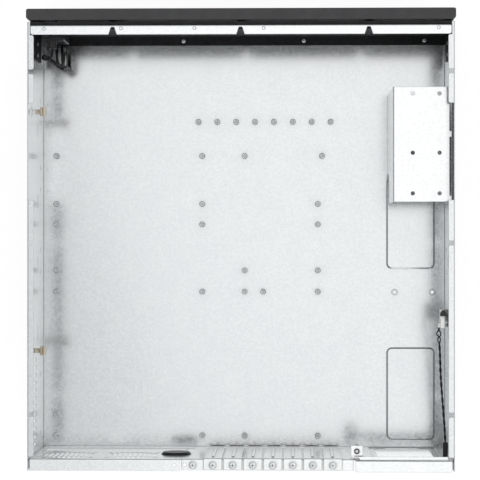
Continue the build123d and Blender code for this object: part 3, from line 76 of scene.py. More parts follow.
class Recipe:
    """Node tree of one material, with short ways to add patterns."""

    def __init__(self, name: str) -> None:
        """Start a material with a Principled shader.

        Args:
            name: the material's name.
        """
        self.material = bpy.data.materials.new(name)
        self.material.use_nodes = True
        self.tree = self.material.node_tree
        self.shader = self.tree.nodes["Principled BSDF"]
        self.place = self.tree.nodes.new("ShaderNodeTexCoord").outputs["Object"]

    def add(self, kind: str, settings: dict | None = None, **inputs: object) -> bpy.types.Node:
        """Add a node.

        Args:
            kind: the node's type.
            settings: attributes of the node itself.
            inputs: input sockets by name, as values or as outputs to link.

        Returns:
            The new node.
        """
        node = self.tree.nodes.new(kind)
        for key, value in (settings or {}).items():
            setattr(node, key, value)
        for key, value in inputs.items():
            self.feed(node.inputs[key.replace("_", " ")], value)
        return node

    def feed(self, socket: bpy.types.NodeSocket, value: object) -> None:
        """Link an output to a socket, or set the socket's own value.

        Args:
            socket: the input socket.
            value: an output socket or a plain value.
        """
        if isinstance(value, bpy.types.NodeSocket):
            self.tree.links.new(value, socket)
        else:
            socket.default_value = value

    def stretched(self, scale: Point) -> bpy.types.NodeSocket:
        """Object coordinates scaled differently along each axis."""
        return self.add("ShaderNodeMapping", Vector=self.place, Scale=scale).outputs["Vector"]

    def noise(self, scale: float, detail: float = 2.0,
              place: bpy.types.NodeSocket | None = None) -> bpy.types.NodeSocket:
        """Noise of a scale in cells for each metre."""
        place = place or self.place
        node = self.add("ShaderNodeTexNoise", Vector=place, Scale=scale, Detail=detail)
        return node.outputs["Fac"]

    def cells(self, scale: float) -> bpy.types.NodeSocket:
        """One random value for each cell of a crystal-like pattern."""
        cell = self.add("ShaderNodeTexVoronoi", Vector=self.place, Scale=scale)
        return self.add("ShaderNodeSeparateColor", Color=cell.outputs["Color"]).outputs["Red"]

    def ramp(self, source: bpy.types.NodeSocket, low: float, high: float,
             dark: Colour, light: Colour) -> bpy.types.NodeSocket:
        """Colour ramp between two tones over a stretch of a pattern.

        Args:
            source: the pattern's value.
            low: value from which the dark tone gives way.
            high: value at which the light tone is reached.
            dark: the dark tone.
            light: the light tone.

        Returns:
            The colour's output.
        """
        node = self.add("ShaderNodeValToRGB", Fac=source)
        first, last = node.color_ramp.elements
        first.position, last.position = low, high
        first.color, last.color = (*dark, 1.0), (*light, 1.0)
        return node.outputs["Color"]

    def spread(self, source: bpy.types.NodeSocket, low: float,
               high: float) -> bpy.types.NodeSocket:
        """Pattern value mapped from the range 0 to 1 to another range."""
        node = self.add("ShaderNodeMapRange", Value=source, To_Min=low, To_Max=high)
        return node.outputs["Result"]

    def mixed(self, share: bpy.types.NodeSocket | float, first: bpy.types.NodeSocket,
              second: bpy.types.NodeSocket, blend: str = "MIX") -> bpy.types.NodeSocket:
        """Two colours mixed by a pattern or a fixed share.

        Args:
            share: share of the second colour.
            first: the first colour.
            second: the second colour.
            blend: the way in which they are mixed.

        Returns:
            The colour's output.
        """
        node = self.add("ShaderNodeMix", {"data_type": "RGBA", "blend_type": blend})
        self.feed(node.inputs[MIX_SHARE], share)
        self.feed(node.inputs[MIX_FIRST], first)
        self.feed(node.inputs[MIX_SECOND], second)
        return node.outputs[MIX_RESULT]

    def bumped(self, source: bpy.types.NodeSocket, strength: float, depth: float) -> None:
        """Raise the surface by a pattern, on top of any earlier bump.

        Args:
            source: the pattern's value.
            strength: strength of the bump, from 0 to 1.
            depth: depth of the bump in metres.
        """
        node = self.add("ShaderNodeBump", Height=source, Strength=strength, Distance=depth)
        before = self.shader.inputs["Normal"]
        if before.is_linked:
            self.feed(node.inputs["Normal"], before.links[0].from_socket)
        self.feed(before, node.outputs["Normal"])

    def eased(self, radius: float) -> None:
        """Ease the edges' shading by a small radius, under any bump."""
        node = self.add("ShaderNodeBevel", {"samples": 6}, Radius=radius)
        self.feed(self.shader.inputs["Normal"], node.outputs["Normal"])

    def shaded(self, colour: bpy.types.NodeSocket, reach: float,
               darkest: float) -> bpy.types.NodeSocket:
        """Colour darkened by ambient occlusion in corners and slots: painted shade.

        Args:
            colour: the colour in the open.
            reach: how near a wall has to be, in metres.
            darkest: share of the colour that stays in the deepest corner.

        Returns:
            The colour's output.
        """
        # Painted shade: ambient occlusion darkens the colour near walls, in corners and in slots.
        corner = self.add("ShaderNodeAmbientOcclusion", {"samples": 8}, Distance=reach)
        tone = self.ramp(corner.outputs["AO"], 0.15, 0.98, (darkest, darkest, darkest),
                         (1.0, 1.0, 1.0))
        return self.mixed(1.0, colour, tone, "MULTIPLY")

    def finish(self, **inputs: object) -> bpy.types.Material:
        """Set the shader's inputs and give the material.

        Args:
            inputs: the shader's inputs by name, as values or as outputs to link.

        Returns:
            The finished material.
        """
        for key, value in inputs.items():
            self.feed(self.shader.inputs[key.replace("_", " ")], value)
        return self.material


@dataclass(frozen=True)
class GalvanisedSheet:
    """Zinc-coated sheet with a very fine crystal grain and faint rolling marks."""

    name: str = "galvanised_sheet"
    dark: Colour = (0.8, 0.812, 0.815)
    light: Colour = (0.87, 0.878, 0.88)
    crystals_per_metre: float = 520.0
    clouds_per_metre: float = 38.0
    marks_per_metre: float = 30.0
    marks_stretch: Point = (40.0, 1.0, 1.0)
    grain_per_metre: float = 900.0
    grain_depth: float = 0.0001
    metallic: float = 0.78
    roughness: tuple[float, float] = (0.15, 0.19)
    edge_radius: float = 0.0009
    painted_shade_reach: float = 0.009
    painted_shade_darkest: float = 0.4

    def material(self) -> bpy.types.Material:
        """Build the material.

        Returns:
            The material.
        """
        mix = Recipe(self.name)
        mix.eased(self.edge_radius)
        crystals = mix.cells(self.crystals_per_metre)
        base = mix.ramp(crystals, 0.0, 1.0, self.dark, self.light)
        clouds = mix.ramp(
            mix.noise(self.clouds_per_metre, 5.0), 0.3, 0.7, (0.97, 0.975, 0.98), (1.0, 1.0, 1.0))
        rolled = mix.noise(self.marks_per_metre, 3.0, mix.stretched(self.marks_stretch))
        streaks = mix.ramp(rolled, 0.35, 0.65, (0.98, 0.98, 0.98), (1.0, 1.0, 1.0))
        colour = mix.mixed(1.0, mix.mixed(1.0, base, clouds, "MULTIPLY"), streaks, "MULTIPLY")
        mix.bumped(mix.noise(self.grain_per_metre, 2.0), 0.03, self.grain_depth)
        mix.bumped(crystals, 0.01, self.grain_depth)
        rough = mix.spread(crystals, *self.roughness)
        # Painted shade: ambient occlusion darkens the sheet's colour in corners, slots and vents.
        colour = mix.shaded(colour, self.painted_shade_reach, self.painted_shade_darkest)
        return mix.finish(Base_Color=colour, Metallic=self.metallic, Roughness=rough)


@dataclass(frozen=True)
class PlatedSteel:
    """Bright plated steel of fasteners, slightly uneven."""

    name: str
    dark: Colour
    light: Colour
    roughness: tuple[float, float] = (0.24, 0.4)
    metallic: float = 0.9
    edge_radius: float = 0.0003
    painted_shade_reach: float = 0.0018
    painted_shade_darkest: float = 0.3

    def material(self) -> bpy.types.Material:
        """Build the material.

        Returns:
            The material.
        """
        mix = Recipe(self.name)
        mix.eased(self.edge_radius)
        tint = mix.noise(450.0, 3.0)
        mix.bumped(mix.noise(2500.0, 2.0), 0.08, 0.00005)
        tones = mix.ramp(tint, 0.3, 0.7, self.dark, self.light)
        # Painted shade: ambient occlusion darkens the colour in drive recesses, pin holes and
        # bores.
        return mix.finish(
            Base_Color=mix.shaded(tones, self.painted_shade_reach, self.painted_shade_darkest),
            Metallic=self.metallic,
            Roughness=mix.spread(mix.noise(800.0), *self.roughness),
        )


@dataclass(frozen=True)
class PowderCoat:
    """Fine textured paint on sheet metal."""

    name: str = "black_powder_coat"
    dark: Colour = (0.006, 0.006, 0.007)
    light: Colour = (0.016, 0.016, 0.018)

    def material(self) -> bpy.types.Material:
        """Build the material.

        Returns:
            The material.
        """
        mix = Recipe(self.name)
        grain = mix.noise(1900.0, 3.0)
        mix.bumped(grain, 0.35, 0.00012)
        return mix.finish(
            Base_Color=mix.ramp(mix.noise(220.0, 4.0), 0.3, 0.7, self.dark, self.light),
            Roughness=mix.spread(grain, 0.42, 0.66),
            Specular_IOR_Level=0.22,
        )


@dataclass(frozen=True)
class Moulding:
    """Moulded plastic with a fine grain."""

    name: str
    dark: Colour
    light: Colour
    grain_per_metre: float = 1400.0
    grain_depth: float = 0.00008
    roughness: tuple[float, float] = (0.42, 0.58)
    subsurface: float = 0.0
    edge_radius: float = 0.0007
    gloss: float = 0.35

    def material(self) -> bpy.types.Material:
        """Build the material.

        Returns:
            The material.
        """
        mix = Recipe(self.name)
        grain = mix.noise(self.grain_per_metre, 3.0)
        mix.eased(self.edge_radius)
        mix.bumped(grain, 0.3, self.grain_depth)
        return mix.finish(
            Base_Color=mix.ramp(mix.noise(60.0, 4.0), 0.3, 0.7, self.dark, self.light),
            Roughness=mix.spread(grain, *self.roughness),
            Subsurface_Weight=self.subsurface,
            Specular_IOR_Level=self.gloss,
        )


@dataclass(frozen=True)
class ClearMoulding:
    """Clear moulding of the light pipes, faintly cloudy."""

    name: str = "clear_moulding"
    dark: Colour = (0.75, 0.8, 0.82)
    light: Colour = (0.9, 0.93, 0.94)

    def material(self) -> bpy.types.Material:
        """Build the material.

        Returns:
            The material.
        """
        mix = Recipe(self.name)
        cloud = mix.noise(500.0, 2.0)
        return mix.finish(
            Base_Color=mix.ramp(cloud, 0.3, 0.7, self.dark, self.light),
            Roughness=mix.spread(cloud, 0.08, 0.16),
            Transmission_Weight=0.6,
            IOR=1.49,
        )


@dataclass
class Finishes:
    """Every finish of the case, by the record's material slot."""

    slots: dict[str, bpy.types.Material] = field(default_factory=dict)
    own_sheets: dict[str, str] = field(default_factory=lambda: {
        "base_tray": "tray_sheet", "rear_panel": "rear_sheet", "slot_cover": "cover_sheet"})

    def build(self) -> None:
        """Build one material for each slot."""
        self.slots = {
            "galvanised_steel": GalvanisedSheet().material(),
            # Tray: painted shade by ambient occlusion on the floor near the walls and in corners.
            "tray_sheet": GalvanisedSheet(
                "galvanised_tray", (0.67, 0.684, 0.69), (0.73, 0.743, 0.75),
                metallic=0.92, painted_shade_reach=0.012, painted_shade_darkest=0.75).material(),
            # Rear panel: strong painted shade by ambient occlusion in its slots and vents.
            "rear_sheet": GalvanisedSheet(
                "galvanised_rear", painted_shade_reach=0.005, painted_shade_darkest=0.06).material(),
            # Slot covers: painted shade by wide-reaching ambient occlusion over their faces inside
            # the case.
            "cover_sheet": GalvanisedSheet(
                "galvanised_covers", (0.78, 0.795, 0.787), (0.85, 0.862, 0.856),
                painted_shade_reach=0.12, painted_shade_darkest=0.05).material(),
            "zinc_plated_steel": PlatedSteel(
                "zinc_plated_steel", (0.78, 0.79, 0.8), (0.9, 0.91, 0.92),
                (0.24, 0.36)).material(),
            "rivet_aluminium": PlatedSteel(
                "rivet_aluminium", (0.8, 0.81, 0.82), (0.9, 0.91, 0.92), (0.3, 0.45)).material(),
            "standoff_steel": PlatedSteel(
                "standoff_steel", (0.62, 0.63, 0.64), (0.78, 0.79, 0.8), (0.3, 0.46)).material(),
            "black_painted_steel": PowderCoat().material(),
            "bezel_plastic": Moulding(
                "bezel_plastic", (0.038, 0.038, 0.04), (0.048, 0.048, 0.05)).material(),
            "black_plastic": Moulding(
                "black_plastic", (0.008, 0.008, 0.009), (0.02, 0.02, 0.022), 1800.0, 0.00005,
                (0.3, 0.46)).material(),
            "white_plastic": Moulding(
                "white_plastic", (0.78, 0.78, 0.77), (0.86, 0.86, 0.85), 1600.0, 0.00004,
                (0.34, 0.46)).material(),
            "nylon": Moulding(
                "nylon", (0.6, 0.5, 0.38), (0.74, 0.65, 0.54), 900.0, 0.00003,
                (0.32, 0.42), 0.15).material(),
            "clear_plastic": ClearMoulding().material(),
            "black_sleeving": Moulding(
                "black_sleeving", (0.004, 0.004, 0.005), (0.012, 0.012, 0.014), 2600.0, 0.00006,
                (0.34, 0.5)).material(),
        }

    def dress(self, piece: bpy.types.Object, slot: str) -> None:
        """Give a piece the finish of a slot."""
        piece.data.materials.clear()
        piece.data.materials.append(self.slots[slot])

    def dress_nodes(self) -> None:
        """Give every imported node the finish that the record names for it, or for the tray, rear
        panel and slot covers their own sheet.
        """
        for row in frame["record"]["subparts"]:
            kind = row["node"].rstrip("_1234567")
            slot = self.own_sheets.get(kind, row["material_slot"])
            self.dress(frame["nodes"][row["node"]], slot)
            log.info("dressed %s with %s", row["node"], slot)


@dataclass(frozen=True)
class Lamp:
    """Square soft lamp aimed at the case, with its place, side and power."""

    name: str
    spot: Point
    size: float
    power: float

    def build(self) -> None:
        """Make the lamp."""
        data = bpy.data.lights.new(self.name, "AREA")
        data.size, data.energy = self.size, self.power
        lamp = bpy.data.objects.new(self.name, data)
        lamp.location = self.spot
        lamp.rotation_euler = (-Vector(self.spot)).to_track_quat("-Z", "Y").to_euler()
        bpy.context.scene.collection.objects.link(lamp)


@dataclass
class Studio:
    """Camera, lamps, background and floor."""

    floor_sheet_top: float = 0.001
    camera_lift: float = 2.160
    stands_over: tuple[float, float] = (0.05425, -0.00304)
    picture_size: float = 480.0
    stands_over_pixel: tuple[float, float] = (294.0, 243.0)
    focal_pixels: float = 2004.0
    sensor: float = 36.0
    world_light: float = 0.95
    seen_background: float = 1.0
    screen_stops: tuple[tuple[float, float], ...] = (
        (0.0, 0.1), (0.4, 0.4), (0.9, 0.86), (0.97, 1.0))
    brightest_from: Point = (0.2, 0.16, 0.966)
    screen_tint: Colour = (0.955, 0.985, 1.0)
    floor_span: float = 9.0
    floor_drop: float = 0.0006
    floor_tone: float = 0.95
    floor_glow: float = 0.8
    floor_white: float = 1.06
    lamps: tuple[Lamp, ...] = (
        Lamp("key", (0.42, 0.12, 2.6), 1.7, 2.6),
        Lamp("rear", (0.0, -1.5, 0.75), 0.9, 3.0),
    )

    def build(self) -> None:
        """Make the camera, the light and the floor."""
        bpy.context.scene.view_settings.view_transform = "Standard"
        self.camera()
        self.world()
        for lamp in self.lamps:
            lamp.build()
        self.floor()

    def camera(self) -> None:
        """Camera above the case, aimed at the picture's middle."""
        data = bpy.data.cameras.new("camera")
        data.sensor_width = self.sensor
        data.lens = self.focal_pixels * self.sensor / self.picture_size
        data.clip_start, data.clip_end = 0.05, 40.0
        middle = self.picture_size / 2
        aim = Vector((
            (middle - self.stands_over_pixel[0]) / self.focal_pixels,
            (self.stands_over_pixel[1] - middle) / self.focal_pixels,
            -1.0,
        )).normalized()
        right = aim.cross(Vector((0.0, 1.0, 0.0))).normalized()
        turn = Matrix((right, right.cross(aim), -aim)).transposed().to_4x4()
        camera = bpy.data.objects.new("camera", data)
        spot = Vector((*self.stands_over, self.floor_sheet_top + self.camera_lift))
        camera.matrix_world = Matrix.Translation(spot) @ turn
        bpy.context.scene.collection.objects.link(camera)
        bpy.context.scene.camera = camera

    def world(self) -> None:
        """Even light, white overhead and shaded by dark screens near the horizon."""
        world = bpy.data.worlds.new("studio")
        bpy.context.scene.world = world
        world.use_nodes = True
        tree = world.node_tree
        back = tree.nodes["Background"]
        seen = any_ray(tree, "Is Camera Ray", "Is Glossy Ray", "Is Transmission Ray")
        level = tree.nodes.new("ShaderNodeMapRange")
        level.inputs["To Min"].default_value = self.world_light
        level.inputs["To Max"].default_value = self.seen_background
        tree.links.new(seen, level.inputs["Value"])
        tree.links.new(level.outputs["Result"], back.inputs["Strength"])
        tree.links.new(self.screens(tree), back.inputs["Color"])

    def screens(self, tree: bpy.types.NodeTree) -> bpy.types.NodeSocket:
        """Grey of the studio by direction, white where the camera looks.

        Args:
            tree: the world's node tree.

        Returns:
            The colour's output.
        """
        place = tree.nodes.new("ShaderNodeTexCoord").outputs["Generated"]
        facing = tree.nodes.new("ShaderNodeVectorMath")
        facing.operation = "DOT_PRODUCT"
        facing.inputs[1].default_value = self.brightest_from
        tree.links.new(place, facing.inputs[0])
        shade = tree.nodes.new("ShaderNodeValToRGB")
        stops = shade.color_ramp.elements
        for _ in self.screen_stops[2:]:
            stops.new(0.5)
        for stop, (position, level) in zip(stops, self.screen_stops):
            tint = [1.0 if level == 1.0 else part for part in self.screen_tint]
            stop.position, stop.color = position, (*(level * part for part in tint), 1.0)
        tree.links.new(facing.outputs["Value"], shade.inputs["Fac"])
        straight = tree.nodes.new("ShaderNodeVectorMath")
        straight.operation = "MAXIMUM"
        tree.links.new(shade.outputs["Color"], straight.inputs[0])
        tree.links.new(self.unshaded(tree), straight.inputs[1])
        return straight.outputs[0]

    def unshaded(self, tree: bpy.types.NodeTree) -> bpy.types.NodeSocket:
        """One where a ray doesn't see the screens, which only gloss shows.

        Args:
            tree: the world's node tree.

        Returns:
            The value's output.
        """
        flip = tree.nodes.new("ShaderNodeMath")
        flip.operation = "SUBTRACT"
        flip.inputs[0].default_value = 1.0
        tree.links.new(any_ray(tree, "Is Glossy Ray"), flip.inputs[1])
        return flip.outputs[0]

    def floor(self) -> None:
        """Pale floor that the camera sees as white outside the shadow."""
        shape = bmesh.new()
        bmesh.ops.create_grid(shape, x_segments=1, y_segments=1, size=self.floor_span / 2)
        bmesh.ops.translate(shape, verts=shape.verts, vec=(0.0, 0.0, -self.floor_drop))
        floor = placed(as_mesh("studio_floor", shape))
        mix = Recipe("studio_floor")
        tone = (self.floor_tone, self.floor_tone, self.floor_tone, 1.0)
        mix.finish(Base_Color=tone, Roughness=0.85, Specular_IOR_Level=0.1)
        glow = mix.add("ShaderNodeEmission", Color=(1.0, 1.0, 1.0, 1.0), Strength=self.floor_white)
        seen = any_ray(mix.tree, "Is Camera Ray", "Is Glossy Ray", "Is Transmission Ray")
        share = mix.spread(seen, 0.0, self.floor_glow)
        join = mix.add("ShaderNodeMixShader")
        mix.feed(join.inputs[0], share)
        mix.feed(join.inputs[1], mix.shader.outputs[0])
        mix.feed(join.inputs[2], glow.outputs[0])
        mix.feed(mix.tree.nodes["Material Output"].inputs["Surface"], join.outputs[0])
        floor.data.materials.append(mix.material)


def any_ray(tree: bpy.types.NodeTree, *rays: str) -> bpy.types.NodeSocket:
    """One where a ray is of any of the kinds, and nothing elsewhere.

    Args:
        tree: the node tree.
        rays: outputs of its Light Path node.

    Returns:
        The value's output.
    """
    path = tree.nodes.new("ShaderNodeLightPath")
    seen = path.outputs[rays[0]]
    for ray in rays[1:]:
        either = tree.nodes.new("ShaderNodeMath")
        either.operation = "MAXIMUM"
        tree.links.new(seen, either.inputs[0])
        tree.links.new(path.outputs[ray], either.inputs[1])
        seen = either.outputs[0]
    return seen


def as_mesh(name: str, shape: bmesh.types.BMesh) -> bpy.types.Mesh:
    """Mesh from a finished shape.

    Args:
        name: the mesh's name.
        shape: the shape, which is freed.

    Returns:
        The mesh.
    """
    mesh = bpy.data.meshes.new(name)
    shape.to_mesh(mesh)
    shape.free()
    return mesh


def placed(mesh: bpy.types.Mesh) -> bpy.types.Object:
    """Object at the origin that shows a mesh under the mesh's name.

    Args:
        mesh: the mesh.

    Returns:
        The linked object.
    """
    piece = bpy.data.objects.new(mesh.name, mesh)
    bpy.context.scene.collection.objects.link(piece)
    return piece


def spline_points(name: str, points: list[Vector]) -> list[Vector]:
    """Points along a smooth line through a route.

    Args:
        name: name of the line's data.
        points: the route, in metres.

    Returns:
        The line's own points.
    """
    curve = bpy.data.curves.new(name, "CURVE")
    curve.dimensions = "3D"
    curve.resolution_u = 12
    line = curve.splines.new("NURBS")
    line.points.add(len(points) - 1)
    for spot, point in zip(line.points, points):
        spot.co = (*point, 1.0)
    line.order_u = 3
    line.use_endpoint_u = True
    holder = bpy.data.objects.new(name, curve)
    mesh = bpy.data.meshes.new_from_object(holder)
    route = [vertex.co.copy() for vertex in mesh.vertices]
    bpy.data.meshes.remove(mesh)
    bpy.data.curves.remove(curve)
    return route


def spaced(route: list[Vector], step: float) -> list[Vector]:
    """The route's line again, with its points about a step apart.

    Args:
        route: points of the line, in metres.
        step: wished distance between two points.

    Returns:
        The new points.
    """
    lengths = [0.0]
    for before, after in zip(route, route[1:]):
        lengths.append(lengths[-1] + (after - before).length)
    count = max(2, round(lengths[-1] / step))
    result, index = [], 0
    for number in range(count + 1):
        along = lengths[-1] * number / count
        while index < len(lengths) - 2 and lengths[index + 1] < along:
            index += 1
        span = lengths[index + 1] - lengths[index]
        share = (along - lengths[index]) / span if span else 0.0
        result.append(route[index].lerp(route[index + 1], share))
    return result


@dataclass
class WireBundle:
    """Several thin wires twisted loosely round one line."""

    name: str
    wires: int
    wire_radius: float
    twist_length: float
    slot: str = "black_sleeving"
    step: float = 0.0012
    loose_length: float = 0.0
    loose_reach: float = 0.0

    def offset(self, along: float) -> float:
        """Distance of the wires' middles from the line, wider where they hang loose.

        Args:
            along: distance from the line's start, in metres.

        Returns:
            The distance in metres.
        """
        reach = self.wire_radius / math.sin(math.pi / self.wires)
        if along < self.loose_length:
            reach += self.loose_reach * math.sin(math.pi * along / self.loose_length) ** 2
        return reach

    def build(self, route: list[Vector]) -> tuple[bpy.types.Object, list[Vector]]:
        """Lay the wires along a line.

        Args:
            route: points of the smooth line, in metres.

        Returns:
            The mesh of all wires and the middle line that they follow.
        """
        middle = spaced(route, self.step)
        sides = self.carried(middle)
        curve = bpy.data.curves.new(self.name, "CURVE")
        curve.dimensions = "3D"
        curve.bevel_depth = self.wire_radius
        curve.bevel_resolution = 2
        curve.use_fill_caps = True
        for wire in range(self.wires):
            line = curve.splines.new("POLY")
            line.points.add(len(middle) - 1)
            for number, (spot, point) in enumerate(zip(line.points, middle)):
                along = number * self.step
                turn = math.tau * (along / self.twist_length + wire / self.wires)
                side, other = sides[number]
                outward = side * math.cos(turn) + other * math.sin(turn)
                place = point + outward * self.offset(along)
                spot.co = (*place, 1.0)
        holder = bpy.data.objects.new(self.name, curve)
        mesh = bpy.data.meshes.new_from_object(holder)
        bpy.data.curves.remove(curve)
        mesh.name = self.name
        mesh.shade_smooth()
        return placed(mesh), middle

    def carried(self, middle: list[Vector]) -> list[tuple[Vector, Vector]]:
        """Two directions across the line at each point, carried along without twist.

        Args:
            middle: points of the line.

        Returns:
            A pair of unit vectors for each point.
        """
        heading = (middle[1] - middle[0]).normalized()
        side = heading.orthogonal().normalized()
        result = []
        for number, point in enumerate(middle):
            ahead = middle[min(number + 1, len(middle) - 1)]
            behind = middle[max(number - 1, 0)]
            new_heading = (ahead - behind).normalized()
            side = heading.rotation_difference(new_heading) @ side
            side = (side - new_heading * side.dot(new_heading)).normalized()
            heading = new_heading
            result.append((side.copy(), heading.cross(side)))
        return result


def in_metres(points: tuple[Point, ...]) -> list[Vector]:
    """Route points given in millimetres, in metres."""
    return [Vector(point) * MM for point in points]


@dataclass
class FrontLeads:
    """Leads of the front controls: loose fall, tied flat coil and loop to the far plug."""

    length: float = 0.53
    diameter: float = 0.003
    fold_points: int = 5
    run_points: int = 3
    turn_drops: tuple[float, ...] = (0.0, 2.6)
    turn_leans: tuple[float, ...] = (-1.6, 1.4)
    coil_width: float = 5.4
    upper_route: tuple[Point, ...] = (
        (-194.0, 196.7, 104.0),
        (-194.7, 190.6, 102.6),
        (-198.0, 187.6, 96.6),
        (-203.0, 187.8, 87.2),
        (-206.6, 190.2, 76.4),
        (-207.3, 191.7, 65.0),
        (-205.6, 191.2, 53.0),
        (-201.8, 188.7, 42.0),
        (-197.4, 186.2, 32.0),
        (-194.3, 184.6, 23.0),
        (-193.5, 184.1, 13.5),
    )
    lower_route: tuple[Point, ...] = (
        (-189.6, 204.8, 20.0),
        (-190.0, 204.8, 31.0),
        (-189.9, 205.0, 41.2),
        (-192.6, 207.4, 45.9),
        (-197.3, 211.6, 46.1),
        (-200.3, 214.2, 41.4),
        (-200.1, 213.9, 30.0),
        (-200.1, 213.9, 18.6),
    )

    def coil(self) -> list[Vector]:
        """Points of the coil's turns, from the lower fold's rear end to its front end.

        Returns:
            Points in metres.
        """
        low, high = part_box("front_lead_hank")
        radius = self.diameter / 2
        middle = (low.y + high.y) / 2
        fold = (high.y - low.y) / 2 - radius
        bottom = low.z + radius + fold
        tie = sum(corner.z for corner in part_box("front_lead_tie")) / 2
        points = []
        for number, (drop, lean) in enumerate(zip(self.turn_drops, self.turn_leans)):
            top = high.z - radius - fold - drop * MM
            turn = self.turn(middle, fold, top, bottom)
            for step, (y, z) in enumerate(turn):
                along = (number + step / len(turn)) / len(self.turn_drops)
                spread = lean * min(1.0, abs(z - tie) / (top + fold - tie)) ** 2
                x = self.upper_route[-1][0] + self.coil_width * along + spread
                points.append(Vector((x * MM, y, z)))
        last = self.turn(middle, fold, high.z, bottom)[:self.fold_points]
        x = self.upper_route[-1][0] + self.coil_width
        shift = self.lower_route[0][1] * MM - middle - fold
        for step, (y, z) in enumerate(last):
            share = (step + 1) / len(last)
            points.append(Vector((x * MM, y + shift * share, z)))
        return points

    def turn(self, middle: float, fold: float, top: float,
             bottom: float) -> list[tuple[float, float]]:
        """Y and Z of one turn's points: lower fold, front run, upper fold, rear run.

        Args:
            middle: the folds' middle along Y.
            fold: radius of the folds.
            top: height of the upper fold's middle.
            bottom: height of the lower fold's middle.

        Returns:
            Places in metres.
        """
        reach = fold / math.cos(math.pi / (2 * self.fold_points))
        corners = range(self.fold_points)
        angles = [math.pi * (corner + 0.5) / self.fold_points for corner in corners]
        shares = [(step + 1) / (self.run_points + 1) for step in range(self.run_points)]
        run = top - bottom
        lower = [(middle - reach * math.cos(a), bottom - reach * math.sin(a)) for a in angles]
        front = [(middle + fold, bottom + run * share) for share in shares]
        upper = [(middle + reach * math.cos(a), top + reach * math.sin(a)) for a in angles]
        rear = [(middle - fold, top - run * share) for share in shares]
        return lower + front + upper + rear

    def build(self, finishes: Finishes) -> None:
        """Args:
            finishes: the case's finishes.
        """
        bundle = WireBundle(
            "front_leads", 4, 0.00062, 0.034, loose_length=0.1, loose_reach=0.0015)
        route = in_metres(self.upper_route) + self.coil() + in_metres(self.lower_route)
        leads, middle = bundle.build(spline_points("front_leads_line", route))
        finishes.dress(leads, bundle.slot)
        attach(leads, ROOT)
        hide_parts("front_lead_upper", "front_lead_hank", "front_lead_lower")
        log.info("front leads laid, %d points in the middle line", len(middle))


@dataclass
class SwitchLead:
    """Twisted pair of the lid switch, along the right wall to its plug."""

    length: float = 0.119
    diameter: float = 0.0026
    route: tuple[Point, ...] = (
        (202.0, -89.2, 112.0),
        (201.7, -94.4, 111.8),
        (202.1, -101.2, 110.9),
        (203.2, -112.0, 108.2),
        (203.9, -128.4, 104.8),
        (204.8, -145.4, 102.6),
        (206.2, -162.4, 102.1),
        (207.4, -179.0, 103.0),
        (208.5, -194.4, 104.6),
        (209.0, -207.0, 105.6),
    )

    def build(self, finishes: Finishes) -> None:
        """Args:
            finishes: the case's finishes.
        """
        pair = WireBundle(
            "switch_lead_pair", 2, self.diameter / 4, 0.0155, step=0.0008,
            loose_length=0.017, loose_reach=0.0018)
        lead, middle = pair.build(spline_points("switch_lead_line", in_metres(self.route)))
        finishes.dress(lead, pair.slot)
        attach(lead, ROOT)
        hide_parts("switch_lead")
        log.info("switch lead laid, %d points in the middle line", len(middle))


def node_solids(node: str) -> list[tuple[Vector, Vector]]:
    """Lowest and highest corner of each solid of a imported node.

    Args:
        node: the node's name.

    Returns:
        One pair of corners for each solid.
    """
    shape = bmesh.new()
    shape.from_mesh(frame["nodes"][node].data)
    bmesh.ops.remove_doubles(shape, verts=shape.verts, dist=WELD)
    left = set(shape.verts)
    boxes = []
    while left:
        group, edge = set(), [left.pop()]
        while edge:
            vertex = edge.pop()
            group.add(vertex)
            for link in vertex.link_edges:
                other = link.other_vert(vertex)
                if other in left:
                    left.remove(other)
                    edge.append(other)
        low = Vector([min(vertex.co[axis] for vertex in group) for axis in range(3)])
        high = Vector([max(vertex.co[axis] for vertex in group) for axis in range(3)])
        boxes.append((low, high))
    shape.free()
    return sorted(boxes, key=lambda box: tuple(box[0]))


@dataclass
class Fastener:
    """One style of fastener that stands for a packed group of plain ones."""

    node: str
    slot: str
    facing: Facing
    head_radius: float
    head_height: float
    washer_radius: float = 0.0
    washer_height: float = 0.0
    recess: float = 0.0
    sides: int = 28

    def build(self, finishes: Finishes) -> None:
        """Build every fastener of the group as one piece.

        Args:
            finishes: the case's finishes.
        """
        head = self.head()
        shape = bmesh.new()
        for low, high in node_solids(self.node):
            copy = bmesh.new()
            copy.from_mesh(head)
            bmesh.ops.transform(copy, matrix=self.place(low, high), verts=copy.verts)
            part = as_mesh("part", copy)
            shape.from_mesh(part)
            bpy.data.meshes.remove(part)
        bpy.data.meshes.remove(head)
        piece = placed(as_mesh("dressed_" + self.node, shape))
        finishes.dress(piece, self.slot)
        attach(piece, ROOT)
        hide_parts(self.node)
        log.info("built %s", piece.name)

    def place(self, low: Vector, high: Vector) -> Matrix:
        """Matrix from the fastener's own axes to its place in a solid's box.

        Args:
            low: the box's lowest corner.
            high: the box's highest corner.

        Returns:
            The matrix.
        """
        axis = Vector(self.facing.value)
        middle = (low + high) / 2
        top = middle + axis * abs(((high - low) / 2).dot(axis))
        turn = Vector((0.0, 0.0, 1.0)).rotation_difference(axis).to_matrix().to_4x4()
        return Matrix.Translation(top) @ turn

    def length(self) -> float:
        """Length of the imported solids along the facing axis."""
        low, high = node_solids(self.node)[0]
        return abs((high - low).dot(Vector(self.facing.value)))

    def head(self) -> bpy.types.Mesh:
        """Mesh of one fastener, with its top at the origin and its shank down."""
        raise NotImplementedError


